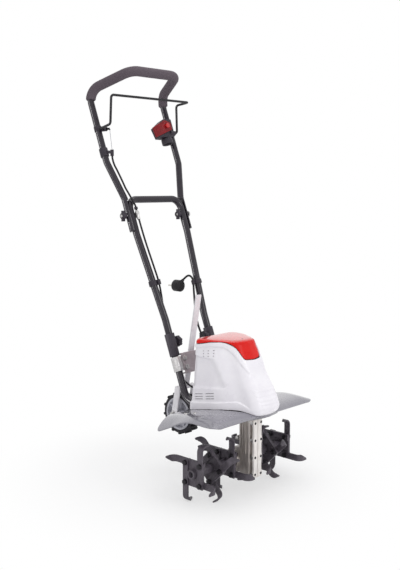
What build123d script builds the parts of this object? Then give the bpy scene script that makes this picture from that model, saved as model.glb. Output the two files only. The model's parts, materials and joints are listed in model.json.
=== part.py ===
from build123d import *
from math import cos, pi, radians, sin, sqrt, tan
import os

# Electric garden tiller, in millimetres. Modelled with the tine axle over the origin, +X to the
# machine's left, -Y to its front and +Z up; the last step moves the middle of the footprint there.

# Fits
slip = 0.05            # radial clearance of a running fit
seat = 0.1             # radial clearance of a fixed fit
part_gap = 0.4         # between curved faces that move past each other

# Tines
tine_reach = 80.0      # axle to the far side of a turned-over tip
axle_z = 86.0
axle_r = 8.0
hub_r = 12.5
hub_start = 36.0
hub_past_star = 12.0
axle_recess = 9.0
star_x = (54.0, 112.0, 176.0)
star_turn = (0.0, 45.0, 0.0)
plate_side = 70.0
plate_corner = 6.0
plate_t = 4.0
bolt_half = 26.0       # half the bolt spacing of a star
blade_w = 18.0
blade_t = 4.0
blade_bend = 14.0      # inner radius of the turned-over tip
blade_leg = 13.0
blade_leg_short = 8.0  # inward tips of the innermost stars, which pass the gearbox
blade_tip = 5.0
bolt_r = 4.0
bolt_hole = 0.2
bolt_af = 13.0
head_t = 5.5
nut_t = 6.5
hub_pin_r = 3.0
hub_pin_x = 43.0
hub_pin_past = 6.0
# which way each blade of a star turns at its end: 1 outwards, -1 inwards
tip_way = ((-1, 1, 1, -1), (-1, 1, -1, 1), (-1, 1, -1, 1))

# Worm drive
gear_module = 2.0
gear_teeth = 24
gear_w = 12.0
gear_hub_r = 14.0
gear_hub_w = 22.0
key_w = 5.0
key_len = 14.0
worm_r = 9.0
worm_len = 36.0
worm_shaft_r = 6.0
tooth_out = 1.4        # tooth height past the pitch line
tooth_in = 2.2         # tooth depth inside the pitch line
backlash = 0.9
flank = 20.0           # flank angle of worm and teeth

# Gearbox casting
box_half = 19.0
box_ahead = 21.0       # casting in front of the worm
box_behind = 18.0
box_below = 37.0
bulb_r = 34.0
bulb_half = 17.0
boss_r = 21.0
boss_half = 30.0
gear_room = 2.0
worm_bore = 13.0
box_flange_t = 8.0
box_flange_half = 44.0
rib_w = 4.0
rib_out = 2.5
case_bolt_r = 3.0
case_boss_r = 6.5
case_boss_half = 14.0
case_bolt_out = 6.4     # bolt line outside the casting's wall, clear of its nuts
axle_bearing_r = 16.0
axle_bearing_w = 10.0
seal_w = 4.0
worm_bearing_r = 12.0
worm_bearing_w = 9.0

# Shield: a pressed sheet, rolled down at its front and sides and drooping to the rear corners
plateau_z = 223.0      # floor of the pan under the cowl
shield_t = 3.0
shield_half = 199.0
shield_corner = 32.0
corner_ease = 0.3      # the rounded plan stands this far outside the straight edges
# behind the axle, height of the flat middle, width of the roll at the side edge, fall across it
shield_rows = (
    (-100.0, 229.0, 9.0, 2.0), (-95.0, 237.5, 10.0, 4.5), (-86.0, 242.0, 12.0, 6.9),
    (-50.0, 243.0, 15.0, 7.0), (-15.0, 242.0, 19.0, 8.2), (20.0, 237.0, 25.0, 11.2),
    (60.0, 229.5, 35.0, 18.9), (92.0, 222.8, 48.0, 28.9), (114.0, 217.0, 57.0, 37.0),
)
pan_inset = 4.0        # pan wall inside the cowl's outline
# the cowl's outline where it stands on the sheet, as its rows are given
pan_row = (240.0, -103.0, 56.0, -93.0, 95.0, -20.0, 95.0, 98.0)
shaft_hole = 24.0

# Base plate and motor
base_t = 4.0
base_half = 56.0
base_front = 83.0
base_rear = 84.0
base_lip = 26.0
strip_front = 8.0      # side strips carrying the frame tubes, from here back
strip_rear = 78.0
lip_half = 40.0
lip_gap = 2.0          # between the plate's rear lip and the cowl
flange_bolt = 36.0     # half the bolt square through gearbox, shield, plate and motor
flange_bolt_r = 3.0
motor_r = 34.0
motor_wall = 2.0
motor_foot_t = 4.0
motor_foot_half = 43.0
motor_h = 82.0
stator_h = 38.0
stator_lift = 20.0
core_r = 16.0
core_slots = 12
slot_w = 3.0
slot_depth = 8.0
air_gap = 0.8
coil_h = 10.0
commutator_r = 13.0
commutator_h = 10.0
brush_w = 8.0
brush_len = 22.0
bracket_t = 6.0
motor_bearing_r = 13.0
motor_bearing_w = 9.0
fan_r = 27.0
fan_h = 12.0
fan_blades = 9

# Handle line: both handles and the frame tubes stand in one leaning plane
lean = 21.1
handle_foot = 30.7     # where the handle plane meets the ground, behind the axle
frame_x = 78.0
frame_r = 10.0
upper_r = 9.5
tube_wall = 1.5
frame_front = 5.0
frame_bend = 45.0
frame_top_z = 385.0
tube_break = 3.0
sleeve_r = 14.0
sleeve_z = 357.0
sleeve_len = 64.0
knob_r = 16.0
knob_t = 12.0
knob_stem = 7.0
knob_stud_r = 4.0
knob_z = 394.0
lobes = 6
lobe_r = 4.0

# Frame tube clips on the base plate
clip_y = (10.0, 70.0)
clip_w = 16.0
clip_t = 2.2
clip_foot = 18.0
small_bolt_r = 2.5

# Cross bracket, in the handle plane
bracket_z = 335.0
bracket_h = 56.0
bracket_sheet = 2.5
bracket_web = -9.0
bracket_depth = 31.0
bracket_half = 62.0
clamp_r = 13.5
clamp_len = 40.0
ear_t = 3.0
ear_in = 44.0
ear_bolt_x = 54.0
ear_bolt_up = 13.0

# Wheel and its fork
wheel_y = 218.0
wheel_z = 172.0
wheel_lean = 10.5
wheel_r = 61.0
wheel_w = 38.0
rim_r = 47.0
lug_count = 26
lug_h = 4.0
lug_w = 7.0
spoke_count = 5
wheel_hub_r = 14.0
wheel_hub_w = 54.0
wheel_bush_r = 8.0
wheel_axle_r = 6.0
fork_x = 33.0
bar_w = 20.0
bar_t = 5.0
yoke_up = 84.0
bar_up = 356.0
fork_slide = 112.0
guide_half = 19.0
guide_len = 30.0
guide_front = 9.0
guide_foot = 27.0
guide_rear = 8.0
slide_gap = 0.3

# Lower and upper handle
lower_spread_z = 455.0
joint_x = 101.0
joint_low_z = 690.0
cross_z = 787.0
cross_bend = 30.0
fold_z = 742.0
joint_gap = 0.3
upper_end_z = 699.0
upper_flat_z = 786.0
upper_out_x = 142.5
upper_out_z = 892.0
grip_z = 1093.0
grip_bar_x = 88.0
grip_bar_y = 329.0
grip_bar_z = 1145.0
leg_bend = 40.0
grip_bend = 40.0
foam_r = 14.0
foam_from = 0.17       # share of the first grip bend left bare
fold_bolt_r = 4.0
fold_head_r = 9.0
fold_head_t = 4.0
wing_r = 15.0
wing_t = 14.0
wing_clear = 3.2       # the outer wing clears the bend of its leg

# Bail and its fittings
bail_r = 3.5
bail_y = 390.0
bail_z = 985.0
bail_half = 151.0
bail_bar_y = 341.0
bail_bar_z = 1075.0
bail_knee_y = 346.0
bail_knee_z = 996.0
bail_far_y = 393.0
bail_far_z = 1069.0
bail_bend = 9.0
bail_in = 133.0
bail_boss_r = 7.0
bail_boss = (134.5, 141.0)
band_t = 1.2
band_len = 14.0
crank_r = 12.0
crank_t = 4.0

# Switch housing on the left leg
switch_z = 1000.0
switch_case = ((66, -6), (103, 19), (131, 22), (131, -33), (120, -39), (74, -38))
switch_plate = ((48, -12), (103, 15), (128, 7), (126, -15), (53, -43))
switch_front = 22.0
switch_rear = 2.0
clasp_t = 3.0          # round clasp of the housing on its leg
clasp_len = 52.0
plate_thick = 6.0
lock_r = 7.0
lock_at = (108.0, -4.0)
lock_out = 4.5
collar_r = 17.0
collar_bore = 12.0
collar_len = 16.0
collar_roof = 4.0
collar_x = 108.0

# Cable from the bail to the motor switch
cable_r = 2.7
wire_r = 0.9
cable_in = 8.0         # cable stands this far inside its tube
cable_ahead = 15.0     # and this far in front of it
stop_z = 918.0
stop_len = 24.0
stop_t = 2.6
loop_top_z = 814.0
loop_low_z = 766.0
cable_clip_z = 554.0
adjuster_r = 4.5
adjuster_len = 26.0
cable_entry = (-45.0, 264.0)
cable_behind = 13.0    # the lower run goes down behind its tube
switch_size = (28.0, 22.0, 30.0)
switch_travel = 4.2

# Mains lead
cord_r = 3.0
gland_at = (40.0, 372.0)
gland_r = 6.5
gland_len = 14.0
plug_r = 17.0
plug_t = 22.0
plug_pin_r = 2.4
plug_pin_len = 19.0
plug_pin_half = 9.5
cord_clip_z = 546.0

# Cowl
cowl_wall = 3.0
cowl_rise = 0.9        # its lower edge above the shield
# height, nose, then half width and place of the front corners, of the side knees and of the rear corners
cowl_rows = (
    (214.0, -92.0, 44.0, -82.0, 95.0, -14.0, 96.5, 100.0),
    (226.0, -104.0, 48.0, -94.0, 95.0, -14.0, 96.0, 99.0),
    (234.0, -113.0, 51.0, -102.0, 95.0, -14.0, 96.0, 98.5),
    (244.0, -117.0, 52.0, -106.0, 95.0, -14.0, 95.5, 98.0),
    (262.0, -113.0, 50.0, -103.0, 93.0, -10.0, 94.0, 97.0),
    (290.0, -98.0, 47.0, -90.0, 90.0, -4.0, 92.0, 96.0),
    (330.0, -71.0, 44.0, -64.5, 85.0, 6.0, 89.0, 94.5),
    (370.0, -49.0, 41.0, -44.0, 80.0, 22.0, 85.0, 92.0),
    (400.0, -34.0, 38.0, -30.0, 75.0, 34.0, 81.0, 90.0),
    (413.0, -24.0, 33.0, -20.0, 68.0, 40.0, 76.0, 87.0),
    (420.0, 0.0, 21.0, 4.0, 44.0, 46.0, 52.0, 68.0),
)
cowl_round = (16.0, 30.0, 20.0)
nose_z = 228.0
skirt_z = 258.0
skirt_out = 2.5
# the line where the red cover begins: behind the axle, height
cover_line = ((120.0, 398.0), (82.0, 404.0), (40.0, 413.0), (0.0, 414.0), (-18.0, 406.0), (-31.0, 390.0),
              (-44.0, 372.0), (-120.0, 340.0))
vent_rows = 3
vent_pitch = 6.0
notch_gap = 2.0
screw_r = 2.0
screw_head_r = 4.0
screw_head_t = 2.4

nodes = {}
solid_handle = []    # the lower handle without its bore, to cut the clips round it
cord_nodes = ("mains_cord", "mains_plug", "plug_pins")


def span_box(x0, x1, y0, y1, z0, z1):
    box = Box(abs(x1 - x0), abs(y1 - y0), abs(z1 - z0))
    return Pos((x0 + x1) / 2, (y0 + y1) / 2, (z0 + z1) / 2) * box


def rod_x(x0, x1, y, z, r):
    return Pos((x0 + x1) / 2, y, z) * Rot(0, 90, 0) * Cylinder(r, abs(x1 - x0))


def rod_y(x, y0, y1, z, r):
    return Pos(x, (y0 + y1) / 2, z) * Rot(90, 0, 0) * Cylinder(r, abs(y1 - y0))


def rod_z(x, y, z0, z1, r):
    return Pos(x, y, (z0 + z1) / 2) * Cylinder(r, abs(z1 - z0))


def hex_x(x0, x1, y, z, across):
    low = min(x0, x1)
    return Pos(low, y, z) * Rot(0, 90, 0) * extrude(RegularPolygon(across / sqrt(3), 6), abs(x1 - x0))


def hex_z(x, y, z0, z1, across):
    return Pos(x, y, z0) * extrude(RegularPolygon(across / sqrt(3), 6), z1 - z0)


def both_sides(solid):
    return [solid, mirror(solid, Plane.YZ)]


def handle_y(z):
    return handle_foot + z * tan(radians(lean))


def on_handle(x, z, ahead=0.0):
    return Vector(x, handle_y(z) - ahead * cos(radians(lean)), z + ahead * sin(radians(lean)))


def handle_frame(z):
    return Pos(0, handle_y(z), z) * Rot(-lean, 0, 0)


def along_handle(z0, z1):
    return (z1 - z0) / cos(radians(lean))


def pipe(path, r, bore=0.0):
    start = Plane(path @ 0, z_dir=path % 0)
    rod = sweep(start * Circle(r), path=path)
    if bore:
        rod -= sweep(start * Circle(bore), path=path)
    return rod


def cord_radii(points):
    radii = []
    for before, here, after in zip(points, points[1:], points[2:]):
        a, b = Vector(here) - Vector(before), Vector(after) - Vector(here)
        turn = a.get_angle(b)
        radii.append(0.45 * min(a.length, b.length) / tan(radians(turn / 2)))
    return radii


def add(name, *solids):
    nodes.setdefault(name, []).extend(solids)


# Tines

def blade(way, leg):
    # flat bar down the rear edge of a star, its end turned over towards +X for way 1
    t = blade_t / 2
    knee = tine_reach - blade_bend - blade_t
    cx = t + blade_bend
    top = bolt_half + blade_w / 2
    tip = cx + leg
    low = -tine_reach
    half_root = sqrt(0.5)
    outer_mid = (cx - (blade_bend + blade_t) * half_root, -knee - (blade_bend + blade_t) * half_root)
    inner_mid = (cx - blade_bend * half_root, -knee - blade_bend * half_root)
    edge = [
        Line((-t, top), (-t, -knee)),
        ThreePointArc((-t, -knee), outer_mid, (cx, low)),
        Line((cx, low), (tip, low)),
        Line((tip, low), (tip, low + blade_t)),
        Line((tip, low + blade_t), (cx, low + blade_t)),
        ThreePointArc((cx, low + blade_t), inner_mid, (t, -knee)),
        Line((t, -knee), (t, top)),
        Line((t, top), (-t, top)),
    ]
    side = make_face(Plane.XZ * Curve(edge))
    bar = extrude(side, blade_w / 2, both=True)
    point = Polygon(
        (-blade_w, -blade_w / 2), (cx - blade_bend / 2, -blade_w / 2), (tip, blade_w / 2 - blade_tip),
        (tip, blade_w / 2), (-blade_w, blade_w / 2), align=None,
    )
    bar &= Pos(0, 0, -2 * tine_reach) * extrude(point, 4 * tine_reach)
    for z in (-bolt_half, bolt_half):
        bar -= rod_x(-blade_t, blade_t, 0, z, bolt_r + bolt_hole)
    if way < 0:
        bar = mirror(bar, Plane.YZ)
    return Pos(0, bolt_half, 0) * bar


def star_parts(index):
    x, turn = star_x[index], star_turn[index]
    at = Pos(x, 0, axle_z) * Rot(turn, 0, 0)
    outline = Plane.YZ * RectangleRounded(plate_side, plate_side, plate_corner)
    square = extrude(outline, plate_t / 2, both=True)
    square -= rod_x(-plate_t, plate_t, 0, 0, hub_r + slip)
    blades, bolts, nuts = [], [], []
    face = (plate_t + blade_t) / 2
    for k in range(4):
        lift = face if k % 2 == 0 else -face
        way = tip_way[index][k]
        leg = blade_leg_short if index == 0 and way < 0 else blade_leg
        blades.append(at * Rot(90 * k, 0, 0) * Pos(lift, 0, 0) * blade(way, leg))
    stack = plate_t / 2 + blade_t
    for y in (-bolt_half, bolt_half):
        for z in (-bolt_half, bolt_half):
            square -= rod_x(-plate_t, plate_t, y, z, bolt_r + bolt_hole)
            # a bolt goes through both blades, or one blade and the plate, at its corner
            stud = rod_x(-stack - nut_t - 2, stack, y, z, bolt_r)
            bolts.append(at * (stud + hex_x(stack, stack + head_t, y, z, bolt_af)))
            nut = hex_x(-stack - nut_t, -stack, y, z, bolt_af) - rod_x(-stack - nut_t, -stack, y, z, bolt_r)
            nuts.append(at * nut)
    return at * square, blades, bolts, nuts


def build_tines():
    hub_end = star_x[-1] + hub_past_star
    for index, name in enumerate(("inner", "middle", "outer")):
        square, blades, bolts, nuts = star_parts(index)
        add("star_plates", *both_sides(square))
        for solid in blades:
            add(f"{name}_blades", *both_sides(solid))
        for solid in bolts + nuts:
            add("tine_fasteners", *both_sides(solid))
    hub = rod_x(hub_start, hub_end, 0, axle_z, hub_r) - rod_x(hub_start, hub_end, 0, axle_z, axle_r + slip)
    hub -= rod_z(hub_pin_x, 0, axle_z - 2 * hub_r, axle_z + 2 * hub_r, hub_pin_r)
    add("hub_tubes", *both_sides(hub))
    axle_end = hub_end - axle_recess
    axle = rod_x(-axle_end, axle_end, 0, axle_z, axle_r)
    key_low = axle_z + axle_r - key_w / 2
    key = span_box(-key_len / 2, key_len / 2, -key_w / 2, key_w / 2, key_low, key_low + key_w)
    axle -= key
    pin = rod_z(hub_pin_x, 0, axle_z - hub_r - hub_pin_past, axle_z + hub_r + hub_pin_past, hub_pin_r)
    for solid in both_sides(pin):
        axle -= solid
    add("tine_axle", axle)
    add("tine_fasteners", key, *both_sides(pin))
    add("worm_wheel", worm_wheel(key))


def worm_wheel(key):
    pitch_r = gear_module * gear_teeth / 2
    root, tip = pitch_r - tooth_in, pitch_r + tooth_out
    half_pitch = pi * gear_module / 4 - backlash / 4
    wide = half_pitch + tooth_in * tan(radians(flank))
    narrow = half_pitch - tooth_out * tan(radians(flank)) - backlash / 8
    tooth = Polygon((-wide, root - 1), (wide, root - 1), (narrow, tip), (-narrow, tip), align=None)
    prism = extrude(tooth, gear_w, both=True)
    # tooth on the front of the wheel, tilted by the worm's lead
    tilt = degrees_of_lead()
    front = Rot(0, tilt, 0) * Rot(180, 0, 0) * Rot(0, 90, 0) * prism
    wheel = rod_x(-gear_w / 2, gear_w / 2, 0, 0, root)
    for k in range(gear_teeth):
        wheel += Rot(360 / gear_teeth * k, 0, 0) * front
    wheel &= rod_x(-gear_w / 2, gear_w / 2, 0, 0, tip)
    wheel += rod_x(-gear_hub_w / 2, gear_hub_w / 2, 0, 0, gear_hub_r)
    wheel -= rod_x(-gear_hub_w, gear_hub_w, 0, 0, axle_r + slip)
    return Pos(0, 0, axle_z) * wheel - key


def degrees_of_lead():
    return 180 / pi * (gear_module / (2 * worm_r))


worm_y = -(gear_module * gear_teeth / 2 + worm_r)
box_top = plateau_z - shield_t
base_z = plateau_z + base_t
motor_foot_z = base_z + motor_foot_t
motor_top = base_z + motor_h
low_bearing_z = axle_z - box_below + 5.0
up_bearing_z = axle_z + worm_len / 2 + 12.0


def build_rotor():
    lead = pi * gear_module
    half = pi * gear_module / 4 - backlash / 4
    root, tip = worm_r - tooth_in, worm_r + tooth_out
    wide = half + tooth_in * tan(radians(flank))
    narrow = half - tooth_out * tan(radians(flank))
    # the thread starts so that a gap faces the tooth on the front of the worm wheel
    turns = int(worm_len / lead)
    low = (0.25 - (turns + 1) // 2) * lead
    thread = Polygon((root - 0.4, -wide), (tip, -narrow), (tip, narrow), (root - 0.4, wide), align=None)
    path = Helix(lead, turns * lead, worm_r)
    ridge = sweep(Plane.XZ * thread, path=path, is_frenet=True)
    worm = Pos(0, worm_y, axle_z + low) * ridge
    worm += rod_z(0, worm_y, axle_z - worm_len / 2, axle_z + worm_len / 2, root)
    shaft = rod_z(0, worm_y, low_bearing_z, motor_top + bracket_t + fan_h + 4, worm_shaft_r)
    add("worm_shaft", shaft + worm)
    stack_z = base_z + stator_lift
    core = rod_z(0, worm_y, stack_z, stack_z + stator_h, core_r)
    slot = span_box(core_r - slot_depth, core_r + 1, -slot_w / 2, slot_w / 2, stack_z, stack_z + stator_h)
    for k in range(core_slots):
        core -= Pos(0, worm_y, 0) * Rot(0, 0, 360 / core_slots * k) * slot
    bore = rod_z(0, worm_y, 0, 2 * motor_top, worm_shaft_r)
    add("armature", core - bore)
    com_z = stack_z + stator_h + 4
    add("armature", rod_z(0, worm_y, com_z, com_z + commutator_h, commutator_r) - bore)
    fan_z = motor_top + bracket_t + 2
    disc = rod_z(0, worm_y, fan_z, fan_z + 2, fan_r) + rod_z(0, worm_y, fan_z, fan_z + fan_h, 10)
    vane = span_box(9, fan_r - 1, -1, 1, fan_z + 1, fan_z + fan_h)
    for k in range(fan_blades):
        disc += Pos(0, worm_y, 0) * Rot(0, 0, 360 / fan_blades * k) * vane
    add("armature", disc - bore)


def build_motor():
    axis = (0, worm_y)
    wall_in = motor_r - motor_wall
    half = motor_foot_half
    foot = span_box(-half, half, worm_y - half, worm_y + half, base_z, motor_foot_z)
    can = foot + rod_z(*axis, base_z, motor_top, motor_r)
    can -= rod_z(*axis, motor_foot_z, motor_top + 1, wall_in)
    can -= rod_z(*axis, base_z - 1, motor_foot_z + 1, motor_bearing_r + seat)
    can -= flange_holes(base_z - 1, motor_foot_z + 1)
    slot = span_box(wall_in - 2, motor_r + 1, -5, 5, motor_top - 16, motor_top - 6)
    for k in range(8):
        can -= Pos(0, worm_y, 0) * Rot(0, 0, 45 * k + 22.5) * slot
    add("motor_can", can)
    stack_z = base_z + stator_lift
    stack_top = stack_z + stator_h
    ring = rod_z(*axis, stack_z, stack_top, wall_in - seat) - rod_z(*axis, stack_z, stack_top, wall_in - 8)
    for way in (-1, 1):
        reach_out = way * (wall_in - 6)
        pole = span_box(way * (core_r - 4), reach_out, worm_y - 15, worm_y + 15, stack_z, stack_top)
        ring += pole - rod_z(*axis, 0, 2 * motor_top, core_r + air_gap)
    ring &= rod_z(*axis, 0, 2 * motor_top, wall_in - seat)
    add("stator", ring)
    coils = []
    for way in (-1, 1):
        near, far = way * (core_r + 2), way * (wall_in - 8)
        for low in (stack_z - coil_h, stack_top):
            coils.append(span_box(near, far, worm_y - 16, worm_y + 16, low, low + coil_h))
    add("stator", *coils)
    com_mid = stack_top + 4 + commutator_h / 2
    holders = []
    for way in (-1, 1):
        near, far = worm_y + way * (commutator_r + part_gap), worm_y + way * (wall_in - seat)
        holder = rod_y(0, near, far, com_mid, brush_w / 2)
        holders.append(holder & rod_z(*axis, 0, 2 * motor_top, wall_in - seat))
    add("motor_can", *holders)
    end_top = motor_top + bracket_t
    end = rod_z(*axis, motor_top, end_top, motor_r) - rod_z(*axis, motor_top, end_top, worm_shaft_r + 2)
    end += rod_z(*axis, motor_top - motor_bearing_w, motor_top, motor_bearing_r + 4)
    end -= rod_z(*axis, motor_top - motor_bearing_w, motor_top, motor_bearing_r + seat)
    # three spokes are left between the air openings
    gaps = rod_z(*axis, motor_top - 1, end_top + 1, motor_r - 6)
    gaps -= rod_z(*axis, motor_top - 1, end_top + 1, motor_bearing_r + 6)
    spoke = span_box(0, motor_r, -6, 6, motor_top - 2, end_top + 2)
    for k in range(3):
        gaps -= Pos(0, worm_y, 0) * Rot(0, 0, 120 * k) * spoke
    add("motor_can", end - gaps)
    bearings = []
    for low in (base_z, motor_top - motor_bearing_w):
        bearing = rod_z(*axis, low, low + motor_bearing_w, motor_bearing_r)
        bearings.append(bearing - rod_z(*axis, low - 1, low + motor_bearing_w + 1, worm_shaft_r + slip))
    add("shaft_bearings", *bearings)


def flange_holes(z0, z1):
    holes = []
    for x in (-flange_bolt, flange_bolt):
        for y in (-flange_bolt, flange_bolt):
            holes.append(rod_z(x, worm_y + y, z0, z1, flange_bolt_r + bolt_hole))
    return holes


def build_gearbox():
    front, rear = worm_y - box_ahead, worm_y + box_behind
    low = axle_z - box_below
    column = span_box(-box_half, box_half, front, rear, low, box_top)
    column = fillet(column.edges().filter_by(Axis.Z), 6.0)
    body = column + rod_x(-bulb_half, bulb_half, 0, axle_z, bulb_r)
    body += rod_x(-boss_half, boss_half, 0, axle_z, boss_r)
    # parting flange down the front with a boss at each bolt
    body += span_box(-10, 10, front - case_bolt_out, front + 4, low, box_top)
    ahead, behind = front - case_bolt_out, rear + case_bolt_out
    bolt_rows = [(ahead, low + 8 + k * (box_top - low - 30) / 3) for k in range(4)]
    bolt_rows += [(behind, axle_z + 62), (behind, box_top - 22), (bulb_r + case_bolt_out, axle_z)]
    for y, z in bolt_rows:
        body += rod_x(-case_boss_half, case_boss_half, y, z, case_boss_r)
    # cooling ribs down each side
    rib_half = box_half + rib_out
    for y in (front + 12, front + 20, front + 28):
        body += span_box(-rib_half, rib_half, y, y + rib_w, axle_z + bulb_r - 8, box_top - 4)
    half = box_flange_half
    body += span_box(-half, half, worm_y - half, worm_y + half, box_top - box_flange_t, box_top)
    body -= flange_holes(box_top - box_flange_t - 1, box_top + 1)
    gear_half = gear_w / 2 + gear_room
    body -= rod_x(-gear_half, gear_half, 0, axle_z, gear_module * gear_teeth / 2 + tooth_out + gear_room)
    body -= rod_x(-gear_hub_w / 2 - 1, gear_hub_w / 2 + 1, 0, axle_z, gear_hub_r + gear_room)
    body -= rod_x(-boss_half - 1, boss_half + 1, 0, axle_z, axle_r + 3)
    seat_in = boss_half - seal_w - axle_bearing_w
    for way in (-1, 1):
        body -= rod_x(way * seat_in, way * (boss_half + 1), 0, axle_z, axle_bearing_r + seat)
    body -= rod_z(0, worm_y, axle_z - worm_len / 2 - 2, axle_z + worm_len / 2 + 2, worm_bore)
    body -= rod_z(0, worm_y, low_bearing_z, axle_z, worm_bearing_r + seat)
    body -= rod_z(0, worm_y, axle_z, up_bearing_z + worm_bearing_w, worm_bearing_r + seat)
    body -= rod_z(0, worm_y, axle_z, box_top + 1, worm_shaft_r + 3)
    bolts = []
    for y, z in bolt_rows:
        body -= rod_x(-50, 50, y, z, case_bolt_r + bolt_hole)
        bolt = rod_x(-case_boss_half, case_boss_half + 3, y, z, case_bolt_r)
        bolt += hex_x(-case_boss_half - 4, -case_boss_half, y, z, 10)
        nut = hex_x(case_boss_half, case_boss_half + 5, y, z, 10)
        bolts.append(bolt + nut)
    add("gearbox_half_left", body & span_box(0, 100, -200, 200, 0, 400))
    add("gearbox_half_right", body & span_box(-100, 0, -200, 200, 0, 400))
    add("body_screws", *bolts)
    rings, seals = [], []
    for way in (-1, 1):
        ring = rod_x(way * seat_in, way * (seat_in + axle_bearing_w), 0, axle_z, axle_bearing_r)
        rings.append(ring - rod_x(-100, 100, 0, axle_z, axle_r + slip))
        seal = rod_x(way * (seat_in + axle_bearing_w), way * boss_half, 0, axle_z, axle_bearing_r)
        seals.append(seal - rod_x(-100, 100, 0, axle_z, axle_r + slip))
    add("axle_bearings", *rings)
    add("axle_bearings", *seals)
    worm_rings = []
    for z in (low_bearing_z, up_bearing_z):
        ring = rod_z(0, worm_y, z, z + worm_bearing_w, worm_bearing_r)
        worm_rings.append(ring - rod_z(0, worm_y, 0, 400, worm_shaft_r + slip))
    add("shaft_bearings", *worm_rings)
    bolts = []
    for x in (-flange_bolt, flange_bolt):
        for y in (worm_y - flange_bolt, worm_y + flange_bolt):
            stud = rod_z(x, y, box_top - box_flange_t, motor_foot_z + 9, flange_bolt_r)
            stud += hex_z(x, y, box_top - box_flange_t - 4, box_top - box_flange_t, 10)
            bolts.append(stud + hex_z(x, y, motor_foot_z, motor_foot_z + 5, 10))
    add("body_screws", *bolts)


# Shield and base plate

def below_shield(rise):
    # everything under the flat middle of the sheet, moved up by rise
    low = plateau_z - 100.0
    line = [(y, z + rise) for y, z, roll, fall in shield_rows]
    first, last = line[0], line[-1]
    edge = [Spline(*line), Line(last, (last[0], low)), Line((last[0], low), (first[0], low)),
            Line((first[0], low), first)]
    return extrude(make_face(Plane.YZ * Curve(edge)), 2 * shield_half, both=True)


def shield_section(y, z, roll, fall):
    # flat in the middle and rolled down to each side edge, the sheet's thickness all over
    half, turn, low = shield_half, shield_half - roll, z - shield_t
    right = TangentArc((turn, z), (half, z - fall), tangent=(1, 0))
    under = TangentArc((turn, low), (half, low - fall), tangent=(1, 0))
    middle = [Line((-turn, z), (turn, z)), Line((-turn, low), (turn, low))]
    ends = [Line((way * half, z - fall), (way * half, low - fall)) for way in (-1, 1)]
    rolls = [right, under, mirror(right, Plane.YZ), mirror(under, Plane.YZ)]
    return make_face(Plane((0, y, 0), x_dir=(1, 0, 0), z_dir=(0, -1, 0)) * Curve([*middle, *rolls, *ends]))


def build_body():
    front, rear = shield_rows[0][0], shield_rows[-1][0]
    sheet = loft([shield_section(*row) for row in shield_rows])
    wide, deep = 2 * (shield_half + corner_ease), rear - front + 2 * corner_ease
    plan = Pos(0, (front + rear) / 2, 0) * RectangleRounded(wide, deep, shield_corner)
    sheet &= extrude(plan, 2 * plateau_z)
    floor_z = plateau_z - shield_t
    tall = 2 * shield_t + shield_rows[3][1] - floor_z
    # a pan under the cowl, its wall rising into the sheet
    pan = Pos(0, 0, floor_z - pan_row[0]) * extrude(cowl_row(pan_row, pan_inset - shield_t), tall)
    pan &= below_shield(-shield_t / 2)
    room = Pos(0, 0, plateau_z - pan_row[0]) * extrude(cowl_row(pan_row, pan_inset), tall)
    shield = sheet + pan - room
    shield -= rod_z(0, worm_y, box_top - 1, plateau_z + 1, shaft_hole)
    shield -= flange_holes(box_top - 1, plateau_z + 1)
    add("shield", shield)
    base = span_box(-base_half, base_half, -base_front, base_rear, plateau_z, base_z)
    for way in (-1, 1):
        near, far = way * (base_half - 1), way * (frame_x + frame_r)
        base += span_box(near, far, -strip_front, strip_rear, plateau_z, base_z)
    screw_z = base_z + base_lip - 9
    lip_y = cowl_reach(screw_z, 7) - cowl_wall - lip_gap
    base += span_box(-lip_half, lip_half, 0, lip_y, plateau_z, base_z)
    base += span_box(-lip_half, lip_half, lip_y - base_t, lip_y, plateau_z, base_z + base_lip)
    base -= rod_z(0, worm_y, plateau_z - 1, base_z + 1, shaft_hole)
    base -= flange_holes(plateau_z - 1, base_z + 1)
    screws = []
    for x in (-lip_half + 10, lip_half - 10):
        base -= rod_y(x, lip_y - base_t - 1, lip_y + 1, screw_z, screw_r)
        head_y = cowl_reach(screw_z, 7) + skirt_out + part_gap
        screw = rod_y(x, lip_y - base_t - 4, head_y + screw_head_t / 2, screw_z, screw_r)
        screws.append(screw + rod_y(x, head_y, head_y + screw_head_t, screw_z, screw_head_r))
    clips, clip_bolts = [], []
    bolt_x = frame_x - frame_r - clip_foot / 2 - clip_t
    for y in clip_y:
        clip, bolt = tube_clip(y, bolt_x)
        base -= both_sides(rod_z(bolt_x, y, plateau_z - 1, base_z + 1, small_bolt_r + seat))
        clips += both_sides(clip)
        clip_bolts += both_sides(bolt)
    add("base_plate", base)
    add("tube_clips", *clips)
    add("body_screws", *clip_bolts)
    return screws


def tube_clip(y, at):
    z = base_z + frame_r
    front, rear = y - clip_w / 2, y + clip_w / 2
    strap = rod_y(frame_x, front, rear, z, frame_r + seat + clip_t)
    strap -= rod_y(frame_x, y - clip_w, y + clip_w, z, frame_r + seat)
    strap &= span_box(frame_x - 2 * frame_r, frame_x + 2 * frame_r, front, rear, z, z + 2 * frame_r)
    inside = frame_x - frame_r - seat
    strap += span_box(inside - clip_t, inside, front, rear, base_z, z)
    strap += span_box(inside - clip_t - clip_foot, inside, front, rear, base_z, base_z + clip_t)
    strap -= rod_z(at, y, base_z - 1, base_z + clip_t + 1, small_bolt_r + seat)
    bolt = rod_z(at, y, plateau_z + part_gap, base_z + clip_t, small_bolt_r)
    return strap, bolt + hex_z(at, y, base_z + clip_t, base_z + clip_t + 4, 8)


# Cowl

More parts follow.
